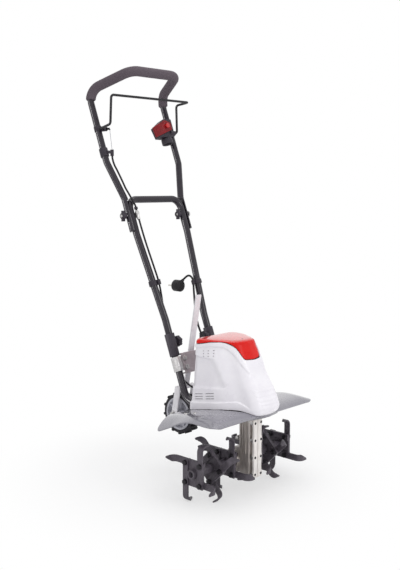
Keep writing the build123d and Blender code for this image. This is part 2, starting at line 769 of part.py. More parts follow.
def cowl_row(row, inset):
    z, nose, wide, front, knee, knee_y, half, rear = row
    corners = [(0, nose + inset), (wide - 0.7 * inset, front + inset), (knee - inset, knee_y),
               (half - inset, rear - inset)]
    face = Polygon(*corners, *[(-x, y) for x, y in reversed(corners[1:])], align=None)
    shrink = min(1.0, half / cowl_rows[-2][6]) ** 2
    radii = [1.5 * wide] + [r * shrink - 0.6 * inset for r in cowl_round]
    for (x, y), radius in zip(corners, radii):
        face = fillet([v for v in face.vertices() if abs(v.Y - y) + abs(abs(v.X) - x) < 0.01], radius)
    return Pos(0, 0, z) * face


def cowl_reach(z, column):
    # a cowl dimension at a height, between its rows
    for low, high in zip(cowl_rows, cowl_rows[1:]):
        if low[0] <= z <= high[0]:
            share = (z - low[0]) / (high[0] - low[0])
            return low[column] + share * (high[column] - low[column])
    return cowl_rows[-1][column]


def build_cowl(screws):
    outer = loft([cowl_row(row, 0) for row in cowl_rows])
    inner_rows = [cowl_row((row[0] - cowl_wall, *row[1:]), cowl_wall) for row in cowl_rows]
    crown = cowl_rows[-1]
    skirt_row = (skirt_z, *[cowl_reach(skirt_z, k) for k in range(1, 8)])
    low_rows = [row for row in cowl_rows if row[0] < skirt_z]
    skirt = loft([cowl_row(row, -skirt_out) for row in (*low_rows, skirt_row)])
    skirt -= span_box(-200, 200, -200, -70, 0, 400)
    shell = outer + skirt - loft(inner_rows) - below_shield(cowl_rise)
    shell -= span_box(-200, 200, -200, -80, 0, nose_z)
    line = list(cover_line)
    roof = 2 * crown[0]
    ahead, behind = (line[-1][0], roof), (line[0][0], roof)
    edge = [Spline(*line), Line(line[-1], ahead), Line(ahead, behind), Line(behind, line[0])]
    above = extrude(make_face(Plane.YZ * Curve(edge)), 2 * cowl_rows[0][6], both=True)
    cowl, cover = shell - above, shell & above
    tube_z = base_z + frame_r
    notch_r = frame_r + notch_gap
    for way in (-1, 1):
        x = way * frame_x
        cowl -= rod_y(x, 60, 130, tube_z + 1, notch_r)
        cowl -= span_box(x - notch_r, x + notch_r, 60, 130, plateau_z - 1, tube_z + 1)
    for row in range(vent_rows):
        for col in range(3):
            low_z = 263 + row * vent_pitch
            up_z = 372 + row * vent_pitch
            low_y, up_y = 74 - col * 24, 70 - col * 11
            cowl -= span_box(-130, 130, low_y - 16, low_y, low_z, low_z + 2.5)
            cowl -= span_box(-130, 130, up_y - 6, up_y, up_z, up_z + 2.5)
    cowl -= rod_y(gland_at[0], 60, 130, gland_at[1], gland_r + seat)
    cowl -= rod_y(cable_entry[0], 60, 130, cable_entry[1], cable_r + seat)
    for screw in screws:
        mid = screw.center()
        cowl -= rod_y(mid.X, 60, 130, mid.Z, screw_r + seat)
    add("cowl", cowl)
    add("cowl_cover", cover)
    add("body_screws", *screws)
    gland_y = cowl_reach(gland_at[1], 7)
    x, z = gland_at
    gland = rod_y(x, gland_y - cowl_wall - 8, gland_y + 2, z, gland_r)
    gland += rod_y(x, gland_y + 1, gland_y + 4, z, gland_r + 3)
    taper = Rot(-90, 0, 0) * Cone(gland_r, cord_r + 1.2, gland_len)
    gland += Pos(x, gland_y + 4 + gland_len / 2, z) * taper
    gland -= rod_y(x, gland_y - 30, gland_y + 60, z, cord_r + slip)
    add("cord_gland", gland)


# Frame and lower handle

def build_frame():
    foot_z = base_z + frame_r
    corners = [(frame_x, -frame_front, foot_z), (frame_x, handle_y(foot_z), foot_z)]
    path = FilletPolyline(*corners, on_handle(frame_x, frame_top_z), radius=frame_bend)
    add("frame_tubes", *both_sides(pipe(path, frame_r, frame_r - tube_wall)))
    low_z = frame_top_z + tube_break
    pts = [on_handle(frame_x, low_z), on_handle(frame_x, lower_spread_z), on_handle(joint_x, joint_low_z),
           on_handle(joint_x, cross_z)]
    pts += [Vector(-p.X, p.Y, p.Z) for p in reversed(pts)]
    bends = [leg_bend * 3, leg_bend * 3, cross_bend, cross_bend, leg_bend * 3, leg_bend * 3]
    path = FilletPolyline(*pts, radius=bends)
    handle = pipe(path, frame_r, frame_r - tube_wall)
    solid_handle.append(pipe(path, frame_r))
    fold_y = handle_y(fold_z)
    handle -= rod_x(-200, 200, fold_y, fold_z, fold_bolt_r + slip)
    add("lower_handle", handle)
    mid = handle_frame(sleeve_z) * Pos(frame_x, 0, sleeve_len / 2)
    bore = mid * Cylinder(frame_r + seat, sleeve_len)
    knob_y = handle_y(knob_z)
    boss = rod_x(frame_x - sleeve_r - 3, frame_x, knob_y, knob_z, knob_stem)
    sleeve = mid * Cylinder(sleeve_r, sleeve_len) + boss - bore
    sleeve -= rod_x(0, frame_x - frame_r, knob_y, knob_z, knob_stud_r + slip)
    add("handle_sockets", *both_sides(sleeve))
    face = frame_x - sleeve_r - 3 - part_gap
    knob = lobed_knob(knob_r, knob_t)
    knob = Pos(face, knob_y, knob_z) * Rot(0, -90, 0) * knob
    knob += rod_x(face - 2, frame_x - frame_r - part_gap - 0.6, knob_y, knob_z, knob_stud_r)
    left, right = both_sides(knob)
    add("socket_knob_left", left)
    add("socket_knob_right", right)


def lobed_knob(r, t):
    body = rod_z(0, 0, 0, t, r - 2)
    for k in range(lobes):
        body += Rot(0, 0, 360 / lobes * k) * rod_z(r - lobe_r, 0, 0, t, lobe_r)
    return body


def build_bracket():
    mid = handle_frame(bracket_z)
    up = bracket_h / 2
    s = bracket_sheet
    web = span_box(-bracket_half, bracket_half, bracket_web, bracket_web + s, -up, up)
    for z in (-up, up - s):
        web += span_box(-bracket_half, bracket_half, bracket_web, bracket_web + bracket_depth, z, z + s)
    clamps, bolts = [], []
    ear_y = bracket_web + s
    ring = Pos(frame_x, 0, 0) * (Cylinder(clamp_r, clamp_len) - Cylinder(frame_r + seat, clamp_len))
    ear = span_box(ear_in, frame_x - frame_r - 2, ear_y, ear_y + ear_t, -clamp_len / 2, clamp_len / 2)
    clamp = ring + (ear - Pos(frame_x, 0, 0) * Cylinder(frame_r + seat, clamp_len))
    for z in (-ear_bolt_up, ear_bolt_up):
        hole = rod_y(ear_bolt_x, bracket_web - 1, ear_y + ear_t + 1, z, bolt_r + seat)
        clamp -= hole
        web -= hole
        web -= mirror(hole, Plane.YZ)
        bolt = rod_y(ear_bolt_x, bracket_web - 5, ear_y + ear_t + 8, z, bolt_r)
        bolt += rod_y(ear_bolt_x, bracket_web - 5, bracket_web, z, bolt_r + 3)
        bolt += rod_y(ear_bolt_x, ear_y + ear_t, ear_y + ear_t + 6, z, bolt_r + 2.5)
        bolts += both_sides(bolt)
    clamps = both_sides(clamp)
    run = span_box(-bar_w / 2 - 1, bar_w / 2 + 1, -bar_t / 2 - 1, bar_t / 2 + 1, yoke_up, bar_up)
    sheet = mid * web - fork_frame() * run
    add("cross_bracket", sheet)
    add("bracket_clamps", *[mid * c for c in clamps])
    add("handle_bolts", *[mid * b for b in bolts])


# Wheel and fork

def fork_frame():
    # along local Z the bar runs up, local -Y is its front face
    return Pos(0, wheel_y, wheel_z) * Rot(wheel_lean, 0, 0)


def build_wheel():
    at = fork_frame()
    bar = span_box(-bar_w / 2, bar_w / 2, -bar_t / 2, bar_t / 2, yoke_up, bar_up)
    end = fork_x + bar_t / 2
    yoke = span_box(-end, end, -bar_w / 2, bar_w / 2, yoke_up - bar_t, yoke_up)
    fork = bar + yoke
    for way in (-1, 1):
        x = way * fork_x
        arm = span_box(x - bar_t / 2, x + bar_t / 2, -bar_w / 2, bar_w / 2, 0, yoke_up)
        arm += rod_x(x - bar_t / 2, x + bar_t / 2, 0, 0, bar_w / 2)
        fork += arm
    axle_hole = rod_x(-100, 100, 0, 0, wheel_axle_r + slip)
    fork -= axle_hole
    add("wheel_fork", at * fork)
    bolt = rod_x(-end - 9, end, 0, 0, wheel_axle_r) + hex_x(end, end + 6, 0, 0, 17)
    add("wheel_axle", at * bolt)
    add("wheel_axle", at * (hex_x(-end - 7, -end, 0, 0, 17) - rod_x(-end - 8, -end, 0, 0, wheel_axle_r)))
    bush = rod_x(-wheel_hub_w / 2, wheel_hub_w / 2, 0, 0, wheel_bush_r) - axle_hole
    add("wheel_rim", at * bush)
    rim = rod_x(-wheel_w / 2, wheel_w / 2, 0, 0, rim_r) - rod_x(-wheel_w, wheel_w, 0, 0, rim_r - 6)
    rim += rod_x(-wheel_hub_w / 2, wheel_hub_w / 2, 0, 0, wheel_hub_r)
    rim += rod_x(-2, 2, 0, 0, rim_r - 2)
    for k in range(spoke_count):
        spoke = Rot(360 / spoke_count * k, 0, 0) * span_box(-wheel_w / 3, wheel_w / 3, -4, 4, 10, rim_r - 3)
        rim += spoke
    rim -= rod_x(-100, 100, 0, 0, wheel_bush_r)
    add("wheel_rim", at * rim)
    tread_r = wheel_r - lug_h
    tyre = rod_x(-wheel_w / 2 + 2, wheel_w / 2 - 2, 0, 0, tread_r)
    for k in range(lug_count):
        way = 1 if k % 2 else -1
        lug = span_box(way * (wheel_w / 2 - 1), -way * 3, -lug_w / 2, lug_w / 2, tread_r - 2, wheel_r)
        tyre += Rot(360 / lug_count * k, 0, 0) * lug
    tyre -= rod_x(-100, 100, 0, 0, rim_r)
    add("wheel_tyre", at * tyre)
    guide_up = (bracket_z - wheel_z) / cos(radians(wheel_lean))
    half = guide_len / 2
    wide = guide_half
    block = at * span_box(-wide, wide, -guide_front, guide_rear, guide_up - half, guide_up + half)
    # its foot stands on the back of the cross bracket
    foot_y = bracket_web + bracket_sheet
    block += handle_frame(bracket_z) * span_box(-wide, wide, foot_y, foot_y + guide_foot, -half, half)
    slot_w, slot_t = bar_w / 2 + slide_gap, bar_t / 2 + slide_gap
    block -= at * span_box(-slot_w, slot_w, -slot_t, slot_t, 0, bar_up)
    block -= at * rod_y(0, 0, guide_rear + 1, guide_up, knob_stud_r + slip)
    add("bar_guide", block)
    face = guide_rear + part_gap
    knob = Pos(0, face, guide_up) * Rot(-90, 0, 0) * lobed_knob(knob_r, knob_t)
    knob += rod_y(0, bar_t / 2 + part_gap, face + 2, guide_up, knob_stud_r)
    add("fork_knob", at * knob)


# Upper handle

def upper_points():
    flat_x = joint_x + frame_r + joint_gap
    pts = [on_handle(flat_x, upper_end_z), on_handle(flat_x, upper_flat_z + 4),
           on_handle(upper_out_x, upper_out_z), on_handle(upper_out_x, grip_z)]
    pts.append(Vector(grip_bar_x, grip_bar_y, grip_bar_z))
    return pts + [Vector(-p.X, p.Y, p.Z) for p in reversed(pts)]


def build_upper():
    pts = upper_points()
    bends = [leg_bend, leg_bend, grip_bend, grip_bend, grip_bend, grip_bend, leg_bend, leg_bend]
    path = FilletPolyline(*pts, radius=bends)
    rod, bore = pipe(path, upper_r), pipe(path, upper_r - tube_wall)
    # the lower ends are pressed to solid half rounds that lie on the outside of the lower handle
    flat_x = joint_x + frame_r + joint_gap
    length = along_handle(upper_end_z, upper_flat_z)
    foot = handle_frame(upper_end_z)
    wide = 2 * upper_r
    for way in (-1, 1):
        near, mid, far = way * (flat_x - wide), way * flat_x, way * (flat_x + wide)
        bore -= foot * span_box(near, far, -wide, wide, -upper_r, length + 2 * tube_wall)
        rod -= foot * span_box(near, mid, -wide, wide, -upper_r, length)
    tube = rod - bore
    fold_y = handle_y(fold_z)
    tube -= rod_x(-200, 200, fold_y, fold_z, fold_bolt_r + slip)
    add("upper_handle", tube)
    runs = path.edges()
    bend = [e for e in runs if e.geom_type == GeomType.CIRCLE and (e @ 0.5).Z > upper_out_z + 50]
    bar = [e for e in runs if e.geom_type == GeomType.LINE and (e @ 0.5).Z > grip_z]
    grip = []
    for e in bend:
        ends = sorted((e @ 0, e @ 1), key=lambda v: v.Z)
        if ends[0].Z > grip_z:
            grip.append(e)
        elif (e @ 0).Z < (e @ 1).Z:
            grip.append(e.trim(foam_from, 1))
        else:
            grip.append(e.trim(0, 1 - foam_from))
    foam_path = Wire(Wire.combine(bar + grip)[0].edges())
    add("foam_grip", pipe(foam_path, foam_r, upper_r + seat))
    # left: head outside and wing nut inside; right: head inside and wing knob outside
    outside = flat_x + upper_r + 0.3
    inside = joint_x - frame_r - 0.3
    left = rod_x(inside - 13, outside, fold_y, fold_z, fold_bolt_r)
    left += rod_x(outside, outside + fold_head_t, fold_y, fold_z, fold_head_r)
    right = rod_x(-outside - wing_clear - 16, -inside, fold_y, fold_z, fold_bolt_r)
    right += rod_x(-inside, -inside + fold_head_t, fold_y, fold_z, fold_head_r)
    add("handle_bolts", left, right)
    add("wing_nut_left", wing(inside - part_gap, -1, fold_y))
    add("wing_knob_right", wing(-outside - wing_clear, -1, fold_y))


def wing(x, way, y):
    far = x + way * wing_t
    body = rod_x(x, far, y, fold_z, 8)
    ear = span_box(x + way * 3, far, y - 2.2, y + 2.2, fold_z - wing_r, fold_z + wing_r)
    body += ear
    return body - rod_x(x - 50, x + 50, y, fold_z, fold_bolt_r + slip)


def band(x, z, length, thick):
    ring = Cylinder(upper_r + seat + thick, length) - Cylinder(upper_r + seat, length)
    return handle_frame(z) * Pos(x, 0, 0) * ring


def build_bail():
    y, z, w = bail_y, bail_z, bail_half
    pts = [(-bail_in, y, z), (-w, y, z), (-w, bail_knee_y, bail_knee_z), (-w, bail_bar_y, bail_bar_z),
           (w, bail_bar_y, bail_bar_z), (w, bail_far_y, bail_far_z), (w, y, z), (bail_in, y, z)]
    rod = pipe(FilletPolyline(*pts, radius=bail_bend), bail_r)
    add("bail", rod)
    crank_x = -bail_in + part_gap
    crank = rod_x(crank_x, crank_x + crank_t, y, z, bail_r + 3)
    crank += span_box(crank_x, crank_x + crank_t, y - crank_r - 3, y, z - 3, z + 3)
    crank -= rod_x(crank_x - 1, crank_x + crank_t + 1, y - crank_r, z, wire_r + 1)
    crank += rod_x(-bail_in, crank_x + 1, y, z, bail_r)
    add("bail", crank)
    hole = rod_x(-200, 200, y, z, bail_r + slip)
    tube = handle_frame(bail_z) * Pos(-upper_out_x, 0, 0) * Cylinder(upper_r + seat, 4 * band_len)
    boss = rod_x(-bail_boss[1], -bail_boss[0], y, z, bail_boss_r)
    post = span_box(-bail_boss[1], -bail_boss[0], y, handle_y(z), z - bail_boss_r, z + bail_boss_r)
    add("bail_bracket", band(-upper_out_x, bail_z, band_len, band_t) + (boss + post - tube) - hole)
    wire_x = crank_x + crank_t + 2
    top = Vector(wire_x, y - crank_r, z - 1)
    stop_at = stop_point()
    low = Vector(wire_x, stop_at.Y, stop_at.Z + 4)
    wire = pipe(Line(low, top), wire_r)
    wire += rod_x(wire_x - 1.2, wire_x + 1.8, top.Y, top.Z - 1, 2.0)
    add("inner_wire", wire)


def stop_point():
    crank_x = -bail_in + part_gap
    at = on_handle(0, stop_z, cable_ahead + 2)
    return Vector(crank_x + crank_t + 2, at.Y, at.Z)


def build_switch():
    at = handle_frame(switch_z)
    outline = Plane.XZ * Polygon(*switch_case, align=None)
    case = at * Pos(0, -switch_front, 0) * extrude(outline, switch_front + switch_rear, dir=(0, 1, 0))
    grip = at * Pos(upper_out_x, 0, 0) * Cylinder(upper_r + clasp_t, clasp_len)
    case += grip
    case += rod_x(bail_boss[0] - 14, bail_boss[1], bail_y, bail_z, bail_boss_r)
    case -= at * Pos(upper_out_x, 0, 0) * Cylinder(upper_r + seat, 200)
    case -= rod_x(bail_in - 1, 200, bail_y, bail_z, bail_r + slip)
    bar_room = rod_x(bail_boss[1], 200, bail_y, bail_z, bail_r + 6)
    case -= bar_room
    outline = Plane.XZ * Polygon(*switch_plate, align=None)
    plate = at * Pos(0, -switch_front - plate_thick, 0) * extrude(outline, plate_thick, dir=(0, 1, 0))
    button_at = at * Pos(lock_at[0], 0, lock_at[1])
    hole = button_at * rod_y(0, -switch_front - plate_thick - 1, -switch_front + 9, 0, lock_r + slip)
    add("switch_housing", case - hole)
    add("switch_plate", plate - hole)
    pressed = rod_y(0, -switch_front - plate_thick - lock_out, -switch_front + 3, 0, lock_r)
    add("lock_button", button_at * pressed)
    top = switch_case[-1][1] - 3
    collar = rod_z(collar_x, -switch_front / 2, top - collar_len, top, collar_r)
    collar -= rod_z(collar_x, -switch_front / 2, top - collar_len, top - collar_roof, collar_bore)
    collar += rod_z(collar_x, -switch_front / 2, top, top + 16, collar_r - 6)
    add("inlet_collar", at * collar - (case - hole))


# Bowden cable

def cable_points(zs, x_of, ahead):
    return [on_handle(x_of(z), z, ahead) for z in zs]


def build_cable():
    stop = stop_point()
    ring = band(-upper_out_x, stop_z, stop_len, stop_t)
    body = Pos(stop.X, stop.Y, stop.Z - 6) * Cylinder(5, 18)
    body -= rod_z(stop.X, stop.Y, stop.Z - 16, stop.Z - 9, cable_r)
    arm = span_box(-upper_out_x, stop.X, stop.Y - 3, handle_y(stop_z), stop.Z - 8, stop.Z)
    tube = handle_frame(stop_z) * Pos(-upper_out_x, 0, 0) * Cylinder(upper_r + seat, 4 * stop_len)
    holder = ring + (arm - tube) + body
    holder -= Pos(stop.X, stop.Y, stop.Z) * Cylinder(wire_r + 0.4, 60)
    add("cable_stop", holder)
    start = Vector(stop.X, stop.Y, stop.Z - 9)
    lean_in = (upper_out_x - joint_x - frame_r) / (upper_out_z - upper_flat_z)

    def leg_x(z):
        if z > upper_out_z:
            return upper_out_x
        return joint_x + frame_r + max(0.0, z - upper_flat_z) * lean_in
    loop_top = on_handle(-leg_x(loop_top_z) + cable_in, loop_top_z, cable_ahead)
    mid_z = (loop_top_z + upper_out_z) / 2
    mid = on_handle(-leg_x(mid_z) + cable_in + 2, mid_z, cable_ahead)
    upper = [start, start - Vector(0, 0, 20), mid, loop_top]
    add("cable_upper", pipe(FilletPolyline(*upper, radius=[20, 60]), cable_r))
    low_x = -joint_x + cable_in + 1
    loop_low = on_handle(low_x, loop_low_z, cable_ahead)
    bow = on_handle((loop_top.X + low_x) / 2, (loop_top_z + loop_low_z) / 2, cable_ahead + 1)
    below = on_handle(low_x, joint_low_z, cable_ahead)
    ends = (loop_top - mid, below - loop_low)
    add("cable_loop", pipe(Spline(loop_top, bow, loop_low, tangents=ends), cable_r))

    def low_leg(z):
        share = (z - lower_spread_z) / (joint_low_z - lower_spread_z)
        return frame_x + min(1.0, max(0.0, share)) * (joint_x - frame_x)
    clip = on_handle(-low_leg(cable_clip_z) + cable_in + 1, cable_clip_z, cable_ahead)
    wall_y = cowl_reach(cable_entry[1], 7)
    entry = Vector(cable_entry[0], wall_y + 28, cable_entry[1])
    inside = Vector(cable_entry[0], wall_y - 14, cable_entry[1])
    back_x = -frame_x + 12
    side = on_handle(-low_leg(512) + 15, 512, -1)
    behind = [on_handle(back_x, z, -cable_behind) for z in (474, 300)]
    lower = [loop_low, below, clip, side, *behind, entry, inside]
    path = FilletPolyline(*lower, radius=[120, 40, 40, 60, 18, 14])
    outer = pipe(path, cable_r)
    # the wire slides in the end of the sheath as it draws the plunger towards it
    outer -= rod_y(cable_entry[0], inside.Y - 1, inside.Y + 2 * switch_travel, cable_entry[1], wire_r + slip)
    adj = on_handle(low_x, fold_z - 3, cable_ahead)
    barrel = handle_frame(fold_z - 3) * Pos(low_x, -cable_ahead, 0) * Cylinder(adjuster_r, adjuster_len)
    barrel += handle_frame(fold_z - 3) * Pos(low_x, -cable_ahead, 6) * Cylinder(adjuster_r + 1.2, 6)
    through = (loop_low - adj) * 3
    add("cable_adjuster", barrel - pipe(Line(adj + through, adj - through), cable_r))
    add("cable_lower", outer)
    hook_z = loop_low_z - 8
    ring_at = handle_frame(hook_z) * Pos(low_x, -cable_ahead, 0)
    hook = ring_at * (Cylinder(cable_r + 2.4, 6) - Cylinder(cable_r, 6))
    stalk = span_box(low_x - 2, low_x + 2, -cable_ahead + cable_r + 1, -frame_r + 0.4, -3, 3)
    hook += handle_frame(hook_z) * stalk
    add("line_clips", hook - solid_handle[0])
    clip_ring = handle_frame(cable_clip_z) * Pos(-low_leg(cable_clip_z), 0, 0)
    holder = clip_ring * (Cylinder(frame_r + 2.6, 14))
    holder += handle_frame(cable_clip_z) * Pos(clip.X, -cable_ahead, 0) * Cylinder(cable_r + 2.4, 14)
    holder += handle_frame(cable_clip_z) * span_box(clip.X - 3, clip.X + 3, -cable_ahead, -frame_r, -7, 7)
    add("line_clips", holder - solid_handle[0] - outer)
    size = switch_size
    x, z = cable_entry
    face = inside.Y - switch_travel - 3
    box = span_box(x - size[0] / 2, x + size[0] / 2, face - size[1], face, z - size[2] / 2, z + size[2] / 2)
    box -= rod_y(x, face - 10, face + 1, z, cable_r + slip)
    add("motor_switch", box)
    plunger = rod_y(x, face - 6, inside.Y - switch_travel - part_gap, z, cable_r)
    plunger += rod_y(x, face, inside.Y + 2, z, wire_r)
    add("switch_plunger", plunger)
    back = face - size[1]
    post = span_box(x - size[0] / 2, x + size[0] / 2, back - 3, back, base_z, z + size[2] / 2)
    post += span_box(x - size[0] / 2, x + size[0] / 2, back - 16, back, base_z, base_z + 3)
    add("base_plate", post)


# Mains lead

def build_lead():
    gland_y = cowl_reach(gland_at[1], 7)
    x, z = gland_at
    points = [(x, gland_y - 6, z), (x, gland_y + 38, z), (x, 170, 389), (42, 196, 424), (50, 215, 470),
              (62, 231, 512), (71, 243, 545), (71, 246, 557), (63, 251, 566), (55, 257, 562),
              (50, 263, 553)]
    radii = cord_radii(points)
    print("lead bend radii", [round(r, 1) for r in radii])
    path = FilletPolyline(*points, radius=radii)
    lead = pipe(path, cord_r)
    share = lead.volume / (pi * cord_r ** 2 * path.length)
    print("lead length", round(path.length, 1), "volume ratio", round(share, 4))
    add("mains_cord", lead)
    end, way = path @ 1, path % 1
    # angled plug: a round body with the lead entering at its rim, pins to the rear
    mid = Vector(end) + Vector(way) * (plug_r + 7)
    body = rod_y(mid.X, mid.Y - plug_t / 2, mid.Y + plug_t / 2, mid.Z, plug_r)
    sleeve_mid = Vector(end) + Vector(way) * 6
    sleeve = Plane(sleeve_mid, z_dir=way) * Cone(cord_r + 1, cord_r + 3.4, 12)
    body += sleeve
    pins = []
    face = mid.Y + plug_t / 2
    for dx in (-plug_pin_half, plug_pin_half):
        pins.append(rod_y(mid.X + dx, face, face + plug_pin_len, mid.Z, plug_pin_r))
    add("mains_plug", body)
    add("plug_pins", *pins)
    clip_at = handle_frame(cord_clip_z)
    share = (cord_clip_z - lower_spread_z) / (joint_low_z - lower_spread_z)
    tube_x = frame_x + share * (joint_x - frame_x)
    holder = clip_at * Pos(tube_x, 0, 0) * Cylinder(frame_r + 2.6, 12)
    hold = Vector(*points[6])
    holder += Pos(hold.X, hold.Y, hold.Z) * Rot(-lean, 0, 0) * Cylinder(cord_r + 2.4, 12)
    holder += Pos(0, hold.Y, hold.Z) * Rot(-lean, 0, 0) * span_box(hold.X, tube_x, -3, 3, -6, 6)
    add("line_clips", holder - solid_handle[0] - lead)


build_tines()
build_rotor()
build_motor()
build_gearbox()
cowl_fixings = build_body()
build_cowl(cowl_fixings)
build_frame()
build_bracket()
build_wheel()
build_upper()
build_bail()
build_switch()
build_cable()
build_lead()

# move the middle of the footprint to the origin
body_solids = [solid for name, group in nodes.items() if name not in cord_nodes for solid in group]
reach = [solid.bounding_box() for solid in body_solids]
shift = -round((min(b.min.Y for b in reach) + max(b.max.Y for b in reach)) / 2, 1)
lift = tine_reach - axle_z
print("axle stands at y", shift, "all lifted by", lift, "nodes", len(nodes))
os.makedirs("parts", exist_ok=True)
for name, group in nodes.items():
    placed = [Pos(0, shift, lift) * solid for solid in group]
    export_step(placed[0] if len(placed) == 1 else Compound(children=placed), f"parts/{name}.step")
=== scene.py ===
import json
import math

import bmesh
import bpy
import numpy as np
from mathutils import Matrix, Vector


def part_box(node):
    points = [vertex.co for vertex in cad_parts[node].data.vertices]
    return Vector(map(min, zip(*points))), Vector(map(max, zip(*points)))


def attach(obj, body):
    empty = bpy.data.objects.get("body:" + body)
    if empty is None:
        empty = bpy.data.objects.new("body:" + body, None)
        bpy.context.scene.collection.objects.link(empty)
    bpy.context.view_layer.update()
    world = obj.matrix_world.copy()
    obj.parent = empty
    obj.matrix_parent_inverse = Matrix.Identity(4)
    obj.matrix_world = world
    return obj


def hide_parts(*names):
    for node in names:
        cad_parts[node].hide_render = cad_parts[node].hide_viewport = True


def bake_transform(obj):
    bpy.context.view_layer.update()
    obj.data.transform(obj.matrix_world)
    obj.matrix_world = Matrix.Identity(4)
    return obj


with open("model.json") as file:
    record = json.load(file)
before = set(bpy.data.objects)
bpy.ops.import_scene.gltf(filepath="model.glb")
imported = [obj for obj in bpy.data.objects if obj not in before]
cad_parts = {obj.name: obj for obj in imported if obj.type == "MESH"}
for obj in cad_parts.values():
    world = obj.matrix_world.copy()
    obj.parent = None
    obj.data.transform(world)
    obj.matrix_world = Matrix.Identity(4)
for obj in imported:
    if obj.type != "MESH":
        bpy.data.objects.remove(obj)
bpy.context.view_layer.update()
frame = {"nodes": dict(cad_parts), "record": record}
record = frame["record"]
nodes = frame["nodes"]
slotOf = {part["node"]: part["material_slot"] for part in record["subparts"]}
bodyOf = {node: body for body, members in record["behaviour"]["bodies"].items() for node in members}
scene = bpy.context.scene
scene.view_settings.view_transform = "Standard"
print("frame loaded:", len(nodes), "nodes")

# The drawing is in millimetres from the tine axle, which lies over x 0, y 0 at this height
mm = 0.001
axleHeight = 86.0
axleMid = sum(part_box("tine_axle"), Vector()) / 2


def at(x, y, z):
    return Vector((x * mm, axleMid.y + y * mm, axleMid.z + (z - axleHeight) * mm))


handle = {"lean": math.radians(21.1), "foot": 30.7}  # the two legs lie in one leaning plane


def onHandle(x, z, ahead=0.0):
    y = handle["foot"] + z * math.tan(handle["lean"])
    return Vector((x, y - ahead * math.cos(handle["lean"]), z + ahead * math.sin(handle["lean"])))


def hexColour(code):
    parts = [int(code[k:k + 2], 16) / 255 for k in (1, 3, 5)]
    return [c / 12.92 if c <= 0.04045 else ((c + 0.055) / 1.055) ** 2.4 for c in parts] + [1.0]


def put(tree, kind, inputs=None, **settings):
    # adds a node, sets its options, then sets or links its inputs
    node = tree.nodes.new(kind)
    for key, value in settings.items():
        setattr(node, key, value)
    for key, value in (inputs or {}).items():
        if isinstance(value, bpy.types.NodeSocket):
            tree.links.new(value, node.inputs[key])
        else:
            node.inputs[key].default_value = value
    return node


# Camera, as the photograph was taken
view = {"lens": 52.58, "spot": (-1666.0, -1453.0, 824.6), "turn": 46.152, "down": 6.764}
cameraData = bpy.data.cameras.new("photoCamera")
cameraData.lens = view["lens"]
cameraData.sensor_width = 36.0
camera = bpy.data.objects.new("photoCamera", cameraData)
scene.collection.objects.link(camera)
camera.location = at(*view["spot"])
camera.rotation_euler = (math.radians(90 - view["down"]), 0, math.radians(-view["turn"]))
scene.camera = camera

# World: white to the eye and in reflections, softer as light
studio = {"ambient": 0.69, "key": 22.0, "fill": 4.5, "top": 20.0, "rim": 32.0, "floorWhite": "#F9F9FA"}
world = bpy.data.worlds.new("studio")
scene.world = world
world.use_nodes = True
tree = world.node_tree
tree.nodes.clear()
path = put(tree, "ShaderNodeLightPath")
seen = put(tree, "ShaderNodeMath", {0: path.outputs["Is Camera Ray"], 1: path.outputs["Is Glossy Ray"]},
           operation="MAXIMUM")
seen = put(tree, "ShaderNodeMath", {0: seen.outputs[0], 1: path.outputs["Is Transmission Ray"]},
           operation="MAXIMUM")
soft = put(tree, "ShaderNodeBackground", {"Color": (1, 1, 1, 1), "Strength": studio["ambient"]})
white = put(tree, "ShaderNodeBackground", {"Color": (1, 1, 1, 1), "Strength": 1.0})
both = put(tree, "ShaderNodeMixShader", {0: seen.outputs[0], 1: soft.outputs[0], 2: white.outputs[0]})
put(tree, "ShaderNodeOutputWorld", {"Surface": both.outputs[0]})

lamps = (
    ("keyLamp", (0.3, -3.2, 1.7), (0, 0, 0.45), (1.6, 1.6), studio["key"]),
    ("fillLamp", (-2.8, -0.9, 1.4), (0, 0, 0.5), (2.0, 2.0), studio["fill"]),
    ("topLamp", (0.2, 0.1, 2.9), (0, 0, 0.3), (2.2, 2.2), studio["top"]),
    ("rimStrip", (-2.3, 1.3, 0.9), (0, 0, 0.6), (0.6, 1.9), studio["rim"]),
)
for name, spot, aim, size, power in lamps:
    data = bpy.data.lights.new(name, "AREA")
    data.shape = "ELLIPSE"
    data.size, data.size_y = size
    data.energy = power
    lamp = bpy.data.objects.new(name, data)
    lamp.location = spot
    lamp.rotation_euler = (Vector(aim) - Vector(spot)).to_track_quat("-Z", "Y").to_euler()
    scene.collection.objects.link(lamp)

# Floor: a pale disc that fades to white before its rim
floorLook = {"radius": 3.2, "fadeFrom": 0.22, "fadeTo": 0.62, "sides": 96, "glow": 0.55}
floorMesh = bpy.data.meshes.new("floor")
bm = bmesh.new()
bmesh.ops.create_circle(bm, cap_ends=True, radius=floorLook["radius"], segments=floorLook["sides"])
bm.to_mesh(floorMesh)
bm.free()
floor = bpy.data.objects.new("floor", floorMesh)
scene.collection.objects.link(floor)
floorPaint = bpy.data.materials.new("paleStudioFloor")
floorPaint.use_nodes = True
tree = floorPaint.node_tree
tree.nodes.clear()
spot = put(tree, "ShaderNodeTexCoord").outputs["Object"]
away = put(tree, "ShaderNodeVectorMath", {0: spot}, operation="LENGTH").outputs["Value"]
fade = put(tree, "ShaderNodeMapRange", {"Value": away, "From Min": floorLook["fadeFrom"],
                                        "From Max": floorLook["fadeTo"], "To Min": floorLook["glow"]},
           interpolation_type="SMOOTHSTEP")
path = put(tree, "ShaderNodeLightPath")
direct = put(tree, "ShaderNodeMath", {0: fade.outputs["Result"], 1: path.outputs["Is Camera Ray"]},
             operation="MULTIPLY")
matt = put(tree, "ShaderNodeBsdfDiffuse", {"Color": hexColour(studio["floorWhite"])})
glow = put(tree, "ShaderNodeEmission", {"Color": (1, 1, 1, 1), "Strength": 1.0})
